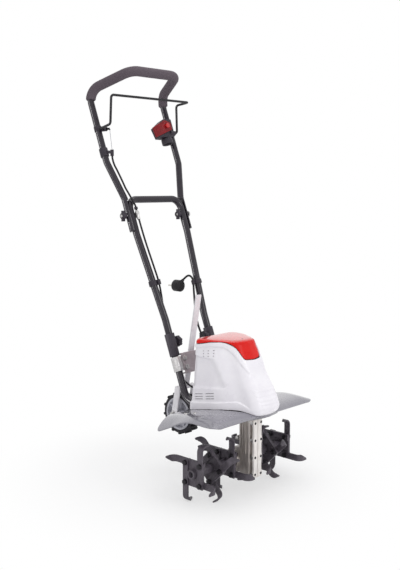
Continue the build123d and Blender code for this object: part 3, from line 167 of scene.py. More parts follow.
both = put(tree, "ShaderNodeMixShader", {0: direct.outputs[0], 1: matt.outputs[0], 2: glow.outputs[0]})
put(tree, "ShaderNodeOutputMaterial", {"Surface": both.outputs[0]})
floorMesh.materials.append(floorPaint)
print("camera, light and floor set")

# Finishes. grain is the size in mm of the mottling between the two tones, texture and relief the size and
# height in mm of the surface's own unevenness, stretch draws both out along an axis as brushing does,
# coatOnTop keeps the clear coat to faces that look up, between these two heights of the normal
finishes = {
    # glossy moulded ABS: clean white, faint flow marks, soft-box reflections
    "white_gloss": {"name": "whiteMouldedAbs", "tones": ("#EBE8EF", "#F2F0F5"), "grain": 45.0,
                    "rough": (0.26, 0.34), "texture": 1.4, "relief": 0.006, "coat": 0.1, "specular": 0.4},
    # glossy red ABS lid: saturated, with a wet-looking roof
    "red_gloss": {"name": "redMouldedAbs", "tones": ("#D31711", "#DC1F18"), "grain": 40.0,
                  "rough": (0.24, 0.32), "texture": 1.4, "relief": 0.001, "specular": 0.2,
                  "coat": 1.0, "coatIor": 1.7, "coatOnTop": (0.78, 0.95)},
    # the same red plastic on the switch plate, painted darker as painted shade of the bail over it
    "switchRedPaintedShade": {"name": "redAbsPaintedShade", "tones": ("#700C15", "#8A121B"), "grain": 12.0,
                  "rough": (0.3, 0.4), "texture": 0.8, "relief": 0.006, "specular": 0.25},
    # silver lacquer on pressed steel: cool grey, faint clouds, a clear glossy coat
    "silver_paint": {"name": "silverLacquer", "tones": ("#7B7983", "#82808A"), "grain": 30.0,
                     "rough": (0.24, 0.32), "texture": 2.0, "relief": 0.0006, "metal": 0.2,
                     "coat": 1.0, "coatIor": 1.7},
    # black powder coat on steel tube: slightly violet black, fine orange peel
    "black_tube": {"name": "blackPowderCoatTube", "tones": ("#1D1821", "#26202A"), "grain": 12.0,
                   "rough": (0.14, 0.2), "texture": 1.2, "relief": 0.004, "specular": 0.45},
    # satin black paint on the tines: dark grey, thin at the rubbed places
    "tine_paint": {"name": "satinTinePaint", "tones": ("#4C474E", "#5E5860"), "grain": 9.0,
                   "rough": (0.36, 0.5), "texture": 0.9, "relief": 0.02, "specular": 0.3},
    # chemically blackened bolts: oily dark grey
    "black_oxide": {"name": "blackenedSteel", "tones": ("#201E22", "#2C292E"), "grain": 2.0,
                    "rough": (0.3, 0.42), "texture": 0.6, "relief": 0.01, "metal": 0.3, "specular": 0.3},
    # die-cast aluminium as it leaves the mould: warm grey, cloudy, fine pits
    "cast_alloy": {"name": "dieCastAluminium", "tones": ("#A79F9A", "#C6BFBA"), "grain": 7.0,
                   "rough": (0.34, 0.5), "texture": 1.0, "relief": 0.03, "metal": 0.6,
                   "stretch": (1.0, 1.0, 0.22)},
    # zinc plated steel: bright, slightly blotchy
    "zinc_steel": {"name": "zincPlatedSteel", "tones": ("#A9A8A8", "#CFCDCB"), "grain": 2.5,
                   "rough": (0.24, 0.4), "texture": 0.6, "relief": 0.008, "metal": 1.0},
    # ground bearing steel: smooth and bright with turning marks
    "bearing_steel": {"name": "groundBearingSteel", "tones": ("#A3A3A8", "#BEBEC3"), "grain": 1.2,
                      "rough": (0.18, 0.3), "texture": 0.5, "relief": 0.005, "metal": 1.0},
    # grey-mauve enamel on the folded bracket: satin, even
    "bracket_steel": {"name": "greyEnamelBracket", "tones": ("#A1969A", "#B3A8AC"), "grain": 14.0,
                      "rough": (0.36, 0.48), "texture": 1.0, "relief": 0.012, "metal": 0.2},
    # bright drawn steel clamps: brushed round the tube
    "clamp_steel": {"name": "brushedClampSteel", "tones": ("#B7B5B6", "#DAD8D8"), "grain": 1.6,
                    "rough": (0.26, 0.4), "texture": 0.7, "relief": 0.01, "metal": 0.9,
                    "stretch": (0.2, 0.2, 1.0)},
    # varnished lamination stack: dull dark grey with sheet lines
    "iron_stack": {"name": "varnishedLaminations", "tones": ("#3F3E40", "#575658"), "grain": 1.0,
                   "rough": (0.5, 0.65), "texture": 0.8, "relief": 0.05, "metal": 0.6,
                   "stretch": (0.05, 0.05, 1.0)},
    # machined bronze: warm yellow brown, fine tool marks
    "bronze": {"name": "machinedBronze", "tones": ("#A47B3F", "#BF9450"), "grain": 2.0,
               "rough": (0.24, 0.36), "texture": 0.5, "relief": 0.01, "metal": 1.0},
    # white enamel on the fork bars: glossy, a little softer at the edges
    "white_paint": {"name": "whiteEnamelBar", "tones": ("#DFDDE2", "#ECEAEE"), "grain": 22.0,
                    "rough": (0.26, 0.36), "texture": 1.1, "relief": 0.01, "coat": 0.1, "specular": 0.4},
    # solid rubber tyre: dull near-black, dusty on the raised lugs
    "tyre": {"name": "dullTyreRubber", "tones": ("#1E1D20", "#353338"), "grain": 6.0,
             "rough": (0.6, 0.8), "texture": 0.7, "relief": 0.05, "specular": 0.25},
    # grey moulded polypropylene wheel: satin, faint flow marks
    "rim_plastic": {"name": "greyPolypropylene", "tones": ("#A3A3AB", "#B5B5BD"), "grain": 18.0,
                    "rough": (0.38, 0.5), "texture": 0.9, "relief": 0.012, "specular": 0.35},
    # black glass-filled nylon: dark grey, spark-eroded grain
    "black_plastic": {"name": "blackGrainedNylon", "tones": ("#302C34", "#3E3941"), "grain": 5.0,
                      "rough": (0.42, 0.58), "texture": 0.5, "relief": 0.025, "specular": 0.25},
    # face of the casting along its joint: its own metal, painted pale as a painted highlight of the front lamp, drawn
    # along its length
    "flangeHighlight": {"name": "castingFacePaintedHighlight", "tones": ("#E4DEDA", "#F3EFEB"), "grain": 5.0,
                   "rough": (0.36, 0.5), "texture": 0.8, "relief": 0.015, "metal": 0.1,
                   "stretch": (1.0, 1.0, 0.2)},
    # red gloss cap
    "button_plastic": {"name": "redButtonCap", "tones": ("#B81C1F", "#CC2425"), "grain": 6.0,
                       "rough": (0.2, 0.3), "texture": 0.6, "relief": 0.005, "coat": 0.2},
    # soft PVC of the lead and plug: black, low sheen, slight mottling
    "black_rubber": {"name": "softBlackPvc", "tones": ("#19181B", "#252327"), "grain": 4.0,
                     "rough": (0.44, 0.58), "texture": 0.6, "relief": 0.02, "specular": 0.25},
    # nickel plated contact pins
    "nickel": {"name": "nickelPlate", "tones": ("#C4C0B9", "#DAD7D0"), "grain": 1.5,
               "rough": (0.14, 0.24), "texture": 0.5, "relief": 0.004, "metal": 1.0},
    # extruded cable sheath: satin black with a slight unevenness
    "cable_sheath": {"name": "extrudedCableSheath", "tones": ("#18171B", "#242227"), "grain": 3.0,
                     "rough": (0.36, 0.48), "texture": 1.0, "relief": 0.02, "specular": 0.25},
    # closed-cell foam sleeve: mauve grey, matt, tiny open cells drawn coarser than real so that they show
    "grip_foam": {"name": "closedCellFoam", "tones": ("#554C54", "#655C63"), "grain": 3.0,
                  "rough": (0.72, 0.88), "texture": 0.9, "relief": 0.10, "specular": 0.2},
    # bent black wire: gloss dip coat
    "bail_wire": {"name": "dippedBlackWire", "tones": ("#151418", "#1F1D22"), "grain": 8.0,
                  "rough": (0.22, 0.34), "texture": 1.0, "relief": 0.008, "specular": 0.3},
}
pattern = {"toneEnds": (0.32, 0.68), "roughEnds": (0.3, 0.7), "coatRough": 0.06}


def surfaceFinish(look):
    finish = bpy.data.materials.new(look["name"])
    finish.use_nodes = True
    tree = finish.node_tree
    tree.nodes.clear()
    spot = put(tree, "ShaderNodeTexCoord").outputs["Object"]
    drawn = put(tree, "ShaderNodeVectorMath", {0: spot, 1: look.get("stretch", (1, 1, 1))},
                operation="MULTIPLY").outputs["Vector"]
    mottle = put(tree, "ShaderNodeTexNoise", {"Vector": drawn, "Scale": 1 / (look["grain"] * mm),
                                              "Detail": 4.0, "Roughness": 0.6}).outputs["Fac"]
    tones = put(tree, "ShaderNodeValToRGB", {"Fac": mottle})
    for stop, code, place in zip(tones.color_ramp.elements, look["tones"], pattern["toneEnds"]):
        stop.color = hexColour(code)
        stop.position = place
    uneven = put(tree, "ShaderNodeTexNoise", {"Vector": drawn, "Scale": 1 / (look["texture"] * mm),
                                              "Detail": 3.0}).outputs["Fac"]
    low, high = pattern["roughEnds"]
    dull = put(tree, "ShaderNodeMapRange", {"Value": mottle, "From Min": low, "From Max": high,
                                            "To Min": look["rough"][0], "To Max": look["rough"][1]})
    bump = put(tree, "ShaderNodeBump", {"Height": uneven, "Strength": 1.0, "Distance": look["relief"] * mm})
    coat = look.get("coat", 0.0)
    if "coatOnTop" in look:
        facing = put(tree, "ShaderNodeSeparateXYZ", {0: put(tree, "ShaderNodeTexCoord").outputs["Normal"]})
        low, high = look["coatOnTop"]
        coat = put(tree, "ShaderNodeMapRange", {"Value": facing.outputs["Z"], "From Min": low, "From Max": high,
                                                "To Max": coat}, interpolation_type="SMOOTHSTEP").outputs["Result"]
    shader = put(tree, "ShaderNodeBsdfPrincipled", {
        "Base Color": tones.outputs["Color"], "Roughness": dull.outputs["Result"],
        "Normal": bump.outputs["Normal"], "Metallic": look.get("metal", 0.0),
        "Specular IOR Level": look.get("specular", 0.5), "Coat Weight": coat,
        "Coat IOR": look.get("coatIor", 1.5), "Coat Roughness": pattern["coatRough"]})
    put(tree, "ShaderNodeOutputMaterial", {"Surface": shader.outputs["BSDF"]})
    return finish


paint = {slot: surfaceFinish(look) for slot, look in finishes.items()}
for node, piece in nodes.items():
    piece.data.materials.clear()
    piece.data.materials.append(paint[slotOf[node]])
print("finishes made:", len(paint))


def meshObject(name, points, faces, edges=()):
    mesh = bpy.data.meshes.new(name)
    mesh.from_pydata([tuple(p) for p in points], edges, faces)
    mesh.update()
    piece = bpy.data.objects.new(name, mesh)
    scene.collection.objects.link(piece)
    return piece


def shade(mesh, angle=40.0):
    mesh.polygons.foreach_set("use_smooth", [True] * len(mesh.polygons))
    mesh.set_sharp_from_angle(angle=math.radians(angle))


def baked(piece):
    # replaces a piece's mesh by what its modifiers make of it
    ready = piece.evaluated_get(bpy.context.evaluated_depsgraph_get())
    mesh = bpy.data.meshes.new_from_object(ready)
    piece.modifiers.clear()
    piece.data = mesh
    return piece


def place(piece, body, slot, *replaced):
    piece.data.materials.clear()
    piece.data.materials.append(paint[slot])
    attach(piece, body)
    if replaced:
        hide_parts(*replaced)
    return piece


# CAD pieces copied with their edges broken, width in mm
brokenEdges = {
    "gearbox_half_left": 0.9, "gearbox_half_right": 0.9, "body_screws": 0.4,
    "tube_clips": 0.4, "cord_gland": 0.5, "mains_plug": 1.5, "plug_pins": 0.7, "line_clips": 0.5,
    "cross_bracket": 0.7, "bracket_clamps": 0.5, "handle_bolts": 0.5, "bar_guide": 0.8,
    "handle_sockets": 1.0, "lower_handle": 0.5, "frame_tubes": 0.5, "cable_adjuster": 0.5,
    "upper_handle": 0.5, "cable_stop": 0.7, "switch_housing": 2.0, "switch_plate": 1.2,
    "inlet_collar": 1.0, "bail_bracket": 0.5, "bail": 0.5, "lock_button": 0.8,
    "wing_nut_left": 1.2, "wing_knob_right": 1.2, "socket_knob_left": 1.5, "socket_knob_right": 1.5,
    "fork_knob": 1.5, "wheel_fork": 0.6, "wheel_axle": 0.4, "wheel_rim": 0.9, "wheel_tyre": 0.9,
    "tine_axle": 0.5, "hub_tubes": 0.5, "star_plates": 0.5, "inner_blades": 0.6,
    "middle_blades": 0.6, "outer_blades": 0.6, "tine_fasteners": 0.4,
}
edgeBreak = {"segments": 2, "sharpFrom": 35.0, "weld": 2e-6, "flat": 1.0}


def broken(piece, width):
    edge = piece.modifiers.new("brokenEdge", "BEVEL")
    edge.width = width * mm
    edge.segments = edgeBreak["segments"]
    edge.limit_method = "ANGLE"
    edge.angle_limit = math.radians(edgeBreak["sharpFrom"])
    baked(piece)
    shade(piece.data)
    return piece


def cadCopy(node, name):
    # a copy with its triangles joined into flat faces
    bm = bmesh.new()
    bm.from_mesh(nodes[node].data)
    bmesh.ops.remove_doubles(bm, verts=bm.verts, dist=edgeBreak["weld"])
    bmesh.ops.dissolve_limit(bm, angle_limit=math.radians(edgeBreak["flat"]), verts=bm.verts, edges=bm.edges)
    piece = meshObject(name, [], [])
    bm.to_mesh(piece.data)
    bm.free()
    return piece


def softened(node, width):
    piece = cadCopy(node, node + "Soft")
    return place(broken(piece, width), bodyOf[node], slotOf[node], node)


for node, width in brokenEdges.items():
    softened(node, width)
# painted shade: the switch plate's darker red stands in for the bail's shade on it
bpy.data.objects["switch_plateSoft"].data.materials[0] = paint["switchRedPaintedShade"]
# the strip lamp only draws bright lines along the black tubes
stripLit = bpy.data.collections.new("stripLit")
for node in ("upper_handle", "lower_handle", "frame_tubes", "handle_sockets", "bail"):
    stripLit.objects.link(bpy.data.objects[node + "Soft"])
bpy.data.objects["rimStrip"].light_linking.receiver_collection = stripLit
print("edges broken on", len(brokenEdges), "CAD pieces")

# Mains lead and switch cable: each route is the one that its tube follows
lead = {
    "route": ((40, 85.87, 372), (40, 129.87, 372), (40, 170, 389), (42, 196, 424), (50, 215, 470),
              (62, 231, 512), (71, 243, 545), (71, 246, 557), (63, 251, 566), (55, 257, 562),
              (50, 263, 553)),
    "radius": 3.0, "length": 0.3089,
}
cable = {
    "radius": 2.7,
    # down from the stop below the bail, past the bend of the leg
    "upper": ((-126.6, 369.07, 915.12), (-126.6, 369.07, 895.12), (-120.91, 345.85, 858.4),
              (-111.32, 330.8, 819.4)),
    "upperLength": 0.1063,
    # across the fold
    "loop": ((-111.32, 330.8, 819.4), (-101.66, 320.61, 795.76), (-92, 312.28, 771.4)),
    "loopLength": 0.0555,
    # down the lower leg to its clip, round behind the tube and into the cowl
    "lower": ((-92, 312.28, 771.4), (-92, 282.95, 695.4), (-83.13, 247.99, 604.77), (-78.69, 230.48, 559.4),
              (-68.58, 229.2, 511.64), (-66, 225.73, 469.32), (-66, 210.42, 429.63), (-66, 176.79, 342.48),
              (-66, 158.59, 295.32), (-45, 124.93, 264), (-45, 82.93, 264)),
    "lowerLength": 0.5958,
}
cordMesh = {"order": 3, "steps": 12, "sides": 6}


def routeCurve(name, route, radius):
    curve = bpy.data.curves.new(name, "CURVE")
    curve.dimensions = "3D"
    spline = curve.splines.new("NURBS")
    spline.points.add(len(route) - 1)
    for point, spot in zip(spline.points, route):
        point.co = (*at(*spot), 1.0)
    spline.order_u = cordMesh["order"]
    spline.use_endpoint_u = True
    spline.resolution_u = cordMesh["steps"]
    curve.bevel_depth = radius * mm
    curve.bevel_resolution = cordMesh["sides"]
    curve.use_fill_caps = True
    piece = bpy.data.objects.new(name, curve)
    scene.collection.objects.link(piece)
    return piece


mainsLead = routeCurve("mainsLead", lead["route"], lead["radius"])
place(mainsLead, "chassis", slotOf["mains_cord"], "mains_cord")
for run, body in (("upper", "upper_handle"), ("lower", "chassis")):
    sheath = routeCurve(run + "Cable", cable[run], cable["radius"])
    place(sheath, body, slotOf["cable_" + run], "cable_" + run)

# the stretch across the fold is a mesh tube on the same kind of line
bareLine = routeCurve("foldLine", cable["loop"], 0.0)
tube = routeCurve("foldTube", cable["loop"], cable["radius"])
depsgraph = bpy.context.evaluated_depsgraph_get()
linePoints = [v.co.copy() for v in bpy.data.meshes.new_from_object(bareLine.evaluated_get(depsgraph)).vertices]
foldCable = bpy.data.objects.new("foldCable", bpy.data.meshes.new_from_object(tube.evaluated_get(depsgraph)))
for made in (bareLine, tube):
    bpy.data.objects.remove(made)
scene.collection.objects.link(foldCable)
shade(foldCable.data)
foldCable.data.materials.clear()
foldCable.data.materials.append(paint[slotOf["cable_loop"]])
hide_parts("cable_loop")
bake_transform(foldCable)
print("lead and cable laid")


def growTree(name, inputs):
    # a geometry node tree with named inputs
    tree = bpy.data.node_groups.new(name, "GeometryNodeTree")
    for label, kind in inputs.items():
        tree.interface.new_socket(label, in_out="INPUT", socket_type="NodeSocket" + kind)
    tree.interface.new_socket("Mesh", in_out="OUTPUT", socket_type="NodeSocketGeometry")
    return tree, put(tree, "NodeGroupInput").outputs


def endTree(tree, geometry, finish):
    real = put(tree, "GeometryNodeRealizeInstances", {"Geometry": geometry})
    dressed = put(tree, "GeometryNodeSetMaterial", {"Geometry": real.outputs[0], "Material": finish})
    put(tree, "NodeGroupOutput", {0: dressed.outputs[0]})


def grown(piece, tree, values):
    # runs a tree on a piece and keeps the plain mesh
    maker = piece.modifiers.new(tree.name, "NODES")
    maker.node_group = tree
    for socket in tree.interface.items_tree:
        if socket.in_out == "INPUT" and socket.name in values:
            maker[socket.identifier] = values[socket.name]
    return baked(piece)


# Foam grip: a sleeve along the bent top of the upper handle
foam = {"legX": 142.5, "legLow": 1000.0, "legTop": 1093.0, "barEnd": (88.0, 329.0, 1145.0), "bend": 40.0,
        "bare": 0.17, "radius": 14.0, "wall": 4.2, "step": 2.5, "sides": 56, "uneven": 0.35, "lump": 14.0,
        "endRoll": 3.5, "endShare": 0.86, "bendSteps": 24, "sharpFrom": 60.0}
foamTree, given = growTree("foamSleeve", {
    "Path": "Geometry", "Bend Radius": "Float", "Trim Start": "Float", "Trim End": "Float", "Step": "Float",
    "Sides": "Int", "Radius": "Float", "End Roll": "Float", "End Share": "Float", "Lump Size": "Float",
    "Unevenness": "Float", "Finish": "Material"})
line = put(foamTree, "GeometryNodeMeshToCurve", {"Mesh": given["Path"]})
line = put(foamTree, "GeometryNodeFilletCurve", {"Curve": line.outputs[0], "Count": foam["bendSteps"],
                                                 "Radius": given["Bend Radius"]}, mode="POLY")
line = put(foamTree, "GeometryNodeTrimCurve", {"Curve": line.outputs[0], 4: given["Trim Start"],
                                               5: given["Trim End"]}, mode="LENGTH")
line = put(foamTree, "GeometryNodeResampleCurve", {"Curve": line.outputs[0], "Length": given["Step"]}, mode="LENGTH")
along = put(foamTree, "GeometryNodeSplineParameter").outputs["Length"]
whole = put(foamTree, "ShaderNodeMath", {0: given["Trim End"], 1: given["Trim Start"]}, operation="SUBTRACT")
left = put(foamTree, "ShaderNodeMath", {0: whole.outputs[0], 1: along}, operation="SUBTRACT")
nearEnd = put(foamTree, "ShaderNodeMath", {0: left.outputs[0], 1: along}, operation="MINIMUM")
roll = put(foamTree, "ShaderNodeMapRange", {"Value": nearEnd.outputs[0], "From Max": given["End Roll"],
                                            "To Min": given["End Share"], "To Max": 1.0},
           interpolation_type="SMOOTHERSTEP")
ring = put(foamTree, "GeometryNodeCurvePrimitiveCircle", {"Resolution": given["Sides"], "Radius": given["Radius"]})
skin = put(foamTree, "GeometryNodeCurveToMesh", {"Curve": line.outputs[0], "Profile Curve": ring.outputs[0],
                                                 "Scale": roll.outputs["Result"]})
fine = put(foamTree, "ShaderNodeMath", {0: 1.0, 1: given["Lump Size"]}, operation="DIVIDE")
lumps = put(foamTree, "ShaderNodeTexNoise", {"Vector": put(foamTree, "GeometryNodeInputPosition").outputs[0],
                                             "Scale": fine.outputs[0], "Detail": 2.0})
level = put(foamTree, "ShaderNodeMapRange", {"Value": lumps.outputs["Fac"], "To Min": -0.5, "To Max": 0.5})
swell = put(foamTree, "ShaderNodeMath", {0: level.outputs["Result"], 1: given["Unevenness"]}, operation="MULTIPLY")
push = put(foamTree, "ShaderNodeVectorMath", {0: put(foamTree, "GeometryNodeInputNormal").outputs["Normal"],
                                              "Scale": swell.outputs[0]}, operation="SCALE")
skin = put(foamTree, "GeometryNodeSetPosition", {"Geometry": skin.outputs[0], "Offset": push.outputs["Vector"]})
endTree(foamTree, skin.outputs[0], given["Finish"])

halfPath = [onHandle(foam["legX"], foam["legLow"]), onHandle(foam["legX"], foam["legTop"]), Vector(foam["barEnd"])]
foamPath = halfPath + [Vector((-p.x, p.y, p.z)) for p in reversed(halfPath)]
legRun, armRun, barRun = [b - a for a, b in zip(foamPath[:3], foamPath[1:4])]
turns = [legRun.angle(armRun), armRun.angle(barRun)]
saved = [2 * foam["bend"] * math.tan(t / 2) - foam["bend"] * t for t in turns]  # what the bends cut off the runs
trimStart = legRun.length - foam["bend"] * math.tan(turns[0] / 2) + foam["bare"] * foam["bend"] * turns[0]
pathLength = 2 * (legRun.length + armRun.length) + barRun.length - 2 * sum(saved)
foamGrip = meshObject("foamGrip", [at(*p) for p in foamPath], [], [(k, k + 1) for k in range(len(foamPath) - 1)])
grown(foamGrip, foamTree, {
    "Bend Radius": foam["bend"] * mm, "Trim Start": trimStart * mm, "Trim End": (pathLength - trimStart) * mm,
    "Step": foam["step"] * mm, "Sides": foam["sides"], "Radius": foam["radius"] * mm,
    "End Roll": foam["endRoll"] * mm, "End Share": foam["endShare"], "Lump Size": foam["lump"] * mm,
    "Unevenness": foam["uneven"] * mm, "Finish": paint["grip_foam"]})
bm = bmesh.new()
bm.from_mesh(foamGrip.data)
bmesh.ops.recalc_face_normals(bm, faces=bm.faces)
bm.to_mesh(foamGrip.data)
bm.free()
thick = foamGrip.modifiers.new("sleeve", "SOLIDIFY")
thick.thickness = foam["wall"] * mm
thick.offset = -1
baked(foamGrip)
shade(foamGrip.data, foam["sharpFrom"])
place(foamGrip, "upper_handle", slotOf["foam_grip"], "foam_grip")
print("foam grip grown:", len(foamGrip.data.polygons), "faces")


def hermite(keys, values, t):
    # smooth curve through the values, with slopes from the neighbours
    slopes = np.gradient(values, keys, axis=0)
    k = min(max(int(np.searchsorted(keys, t)) - 1, 0), len(keys) - 2)
    span = keys[k + 1] - keys[k]
    s = (t - keys[k]) / span
    return ((2 * s ** 3 - 3 * s ** 2 + 1) * values[k] + (s ** 3 - 2 * s ** 2 + s) * span * slopes[k]
            + (3 * s ** 2 - 2 * s ** 3) * values[k + 1] + (s ** 3 - s ** 2) * span * slopes[k + 1])


def gridFaces(rows, columns, closed=True):
    return [(r * columns + c, r * columns + (c + 1) % columns, (r + 1) * columns + (c + 1) % columns,
             (r + 1) * columns + c) for r in range(rows - 1) for c in range(columns if closed else columns - 1)]


def shell(name, grid, faces, wall):
    piece = meshObject(name, [at(*p) for p in grid], faces)
    thick = piece.modifiers.new("wall", "SOLIDIFY")
    thick.thickness = wall * mm
    thick.offset = -1
    thick.use_even_offset = True
    return piece


def barBetween(bm, near, far):
    # a closed bar between two outlines with the same number of points
    near, far = [[bm.verts.new(at(*p)) for p in end] for end in (near, far)]
    bm.faces.new(near)
    bm.faces.new(far[::-1])
    for k in range(len(near)):
        bm.faces.new((near[k - 1], near[k], far[k], far[k - 1]))


def barsObject(name, ends):
    bm = bmesh.new()
    for near, far in ends:
        barBetween(bm, near, far)
    bmesh.ops.recalc_face_normals(bm, faces=bm.faces)
    piece = meshObject(name, [], [])
    bm.to_mesh(piece.data)
    bm.free()
    return piece


def alongY(outline, start, end):
    return [[(x, y, z) for x, z in outline] for y in (start, end)]


def cutBy(piece, cutter, operation="DIFFERENCE", solver="MANIFOLD"):
    cut = piece.modifiers.new(cutter.name, "BOOLEAN")
    cut.operation = operation
    cut.solver = solver
    cut.object = cutter
    baked(piece)
    bpy.data.objects.remove(cutter)
    return piece


# Shield: the sheet rolls down at its front and sides and droops to the rear corners; its pan is the CAD one
sheet = {
    # place behind the axle, height of the flat middle, width of the roll at each side, fall across it
    "rows": ((-102, 228.5, 42, 2), (-97, 232.3, 42, 4), (-88, 236.8, 42, 7), (-75, 240.4, 42, 11),
             (-60, 242.2, 42, 13.5), (-42, 242.8, 42, 13.5), (-15, 242, 42, 12), (20, 237, 44, 14.5),
             (60, 229.5, 50, 26), (92, 222.8, 56, 33.5), (115, 216.8, 60, 37.5)),
    "half": 203.0, "frontCorner": 24.0, "rearCorner": 12.0, "wall": 3.0, "edge": 0.9,
    "rowSteps": 90, "acrossSteps": 120,
    "pan": ((0, -104.5), (57, -94), (97, -20), (97, 100)), "panLow": 200.0, "panHigh": 260.0,
}


def sheetRow(y):
    rows = np.array(sheet["rows"], float)
    return hermite(rows[:, 0], rows, y)


def sheetHeight(x, y):
    y, z, roll, fall = sheetRow(y)
    over = np.clip((np.abs(x) - sheet["half"] + roll) / roll, 0, 1)
    return z - fall * over ** 2


def sheetGrid():
    front, rear = sheet["rows"][0][0], sheet["rows"][-1][0]
    grid = []
    # close rows at both ends, where the corners turn
    for turn in np.linspace(0, math.pi, sheet["rowSteps"]):
        y = front + (rear - front) * (1 - math.cos(turn)) / 2
        radius = sheet["frontCorner"] if y - front < rear - y else sheet["rearCorner"]
        short = max(0.0, radius - min(y - front, rear - y))
        half = sheet["half"] - radius + math.sqrt(max(0.0, radius ** 2 - short ** 2))
        x = half * np.linspace(-1, 1, sheet["acrossSteps"])
        grid.append(np.column_stack([x, np.full(len(x), y), sheetHeight(x, y)]))
    return np.array(grid).reshape(-1, 3)


panOutline = [*sheet["pan"], *[(-x, y) for x, y in reversed(sheet["pan"][1:])]]
panEnds = [[(x, y, z) for x, y in panOutline] for z in (sheet["panLow"], sheet["panHigh"])]
shieldSheet = shell("shieldSheet", sheetGrid(), gridFaces(sheet["rowSteps"], sheet["acrossSteps"], closed=False),
                    sheet["wall"])
broken(baked(shieldSheet), sheet["edge"])
cutBy(shieldSheet, barsObject("panRoom", [panEnds]))
pan = cutBy(cadCopy("shield", "pan"), barsObject("panPart", [panEnds]), "INTERSECT")
for vertex in pan.data.vertices:
    x, y, z = (vertex.co - at(0, 0, 0)) / mm
    vertex.co.z = at(0, 0, min(z, float(sheetHeight(x, y)))).z  # nothing of it stands above the sheet
bm = bmesh.new()
for part in (shieldSheet, pan):
    bm.from_mesh(part.data)
bm.to_mesh(shieldSheet.data)
bm.free()
bpy.data.objects.remove(pan)
shade(shieldSheet.data)
place(shieldSheet, "chassis", slotOf["shield"], "shield")
print("shield pressed:", len(shieldSheet.data.polygons), "faces")

# Cowl: outlines at several heights, each with its nose, front corners, knees and rear corners
cowl = {
    # height, nose, then half width and place of the front corner, the waist, the knee and the rear corner
    "rows": ((214, -92, 44, -82, 60, -54, 94, -8, 96.5, 100), (226, -103.5, 48, -93.5, 62, -58, 94, -8, 96, 99),
             (234, -112, 51, -101, 63, -60, 95, -8, 96, 98.5), (244, -116, 52, -105, 63, -62, 95, -8, 95.5, 98),
             (262, -112, 50, -102, 62, -58, 93, -5, 94, 97), (290, -97, 47, -89, 60, -46, 90, -2, 92, 96),
             (330, -71, 44, -64.5, 58, -30, 85, 8, 89, 96), (370, -49, 41, -44, 56, -12, 80, 22, 85, 95.5),
             (400, -34, 38, -30, 53, 0, 75, 34, 81, 95), (412, -27.5, 37, -23.5, 51, 3, 73, 37, 79, 94),
             (415.6, -21, 34, -17, 47, 7, 68, 40, 74, 90), (417.0, -12, 28, -9, 41, 11, 60, 43, 66, 83)),
    "round": (32.0, 80.0, 90.0, 18.0), "noseRound": 1.5, "fullHalf": 76.0, "wall": 3.0,
    "arcSteps": 7, "runSteps": 20, "rowSteps": 400, "bodyRows": 130, "lidRows": 44,
    "seam": ((120, 398), (82, 404), (40, 412.5), (15, 413.8), (4, 412.8), (-6, 410.3), (-15, 406.3), (-24, 399.5),
             (-31, 390.5), (-44, 371), (-120, 339)),
    "bendEase": 3.0, "seamGap": 2.0, "noseFoot": 229.5, "footGap": 1.0,
    "ridge": ((-120, 270), (-69, 328), (-42, 359), (-23, 382), (-3, 396), (8, 399.5), (40, 400), (90, 392)),
    "ridgeOut": 3.0, "ridgeSoft": 4.5, "ridgeEnd": (318.0, 350.0),
    "panel": ((97, 371), (28, 367), (6, 333), (-13, 298), (82, 287), (97, 287)),
    "panelIn": 6.0, "panelSoft": 6.0, "sideFrom": 0.45, "sideSoft": 0.3,  # only where the face looks sideways
    "skirt": ((-120, 236), (-92, 246), (-70, 258), (-52, 264), (-20, 261), (82, 246), (120, 243)),
    "skirtOut": 3.4, "skirtSoft": 3.0, "skirtFrom": -82.0, "skirtFade": 24.0,
    # low bars across the nose: height and half width
    "bars": ((292, 44), (281, 40), (270, 36), (260, 32), (249, 28)), "barOut": 0.9, "barTall": 5.0,
    "barSoft": 2.0, "barFade": 6.0, "barFront": -60, "sharpFrom": 50.0,
}


def lineAt(points, y):
    # height of a line at y, with its bends eased by averaging over a short reach
    places, heights = zip(*sorted(points))
    reach = np.linspace(-cowl["bendEase"], cowl["bendEase"], 9)
    return sum(np.interp(y + shift, places, heights) for shift in reach) / len(reach)


def softStep(value, width):
    share = np.clip(value / width + 0.5, 0, 1)
    return share * share * (3 - 2 * share)


def roundedLoop(corners, radii):
    # closed outline with arcs at its corners, always the same number of points
    loop = []
    count = len(corners)
    for k, (corner, radius) in enumerate(zip(corners, radii)):
        before = (corners[k - 1] - corner)
        after = (corners[(k + 1) % count] - corner)
        a, b = before / np.linalg.norm(before), after / np.linalg.norm(after)
        half = math.acos(np.clip(a @ b, -1, 1)) / 2
        middle = (a + b) / np.linalg.norm(a + b)
        hub = corner + middle * radius / math.sin(half)
        start, end = corner + a * radius / math.tan(half), corner + b * radius / math.tan(half)
        first = math.atan2(*(start - hub)[::-1])
        turn = (math.atan2(*(end - hub)[::-1]) - first + math.pi) % (2 * math.pi) - math.pi
        arc = [hub + radius * np.array((math.cos(first + turn * s), math.sin(first + turn * s)))
               for s in np.linspace(0, 1, cowl["arcSteps"] + 1)]
        loop.append(arc)
    points = []
    for k, arc in enumerate(loop):
        points += arc
        goal = loop[(k + 1) % count][0]
        points += [arc[-1] + (goal - arc[-1]) * s / cowl["runSteps"] for s in range(1, cowl["runSteps"])]
    return np.array(points)


def cowlLoop(row):
    z, nose, wide, front, waist, waistY, knee, kneeY, half, rear = row
    side = [(wide, front), (waist, waistY), (knee, kneeY), (half, rear)]
    corners = [(0, nose), *side, *[(-x, y) for x, y in reversed(side)]]
    shrink = min(1.0, half / cowl["fullHalf"]) ** 2
    radii = [r * shrink for r in cowl["round"]]
    loop = roundedLoop([np.array(c, float) for c in corners],
                       [cowl["noseRound"] * wide, *radii, *reversed(radii)])
    return np.column_stack([loop, np.full(len(loop), z)])


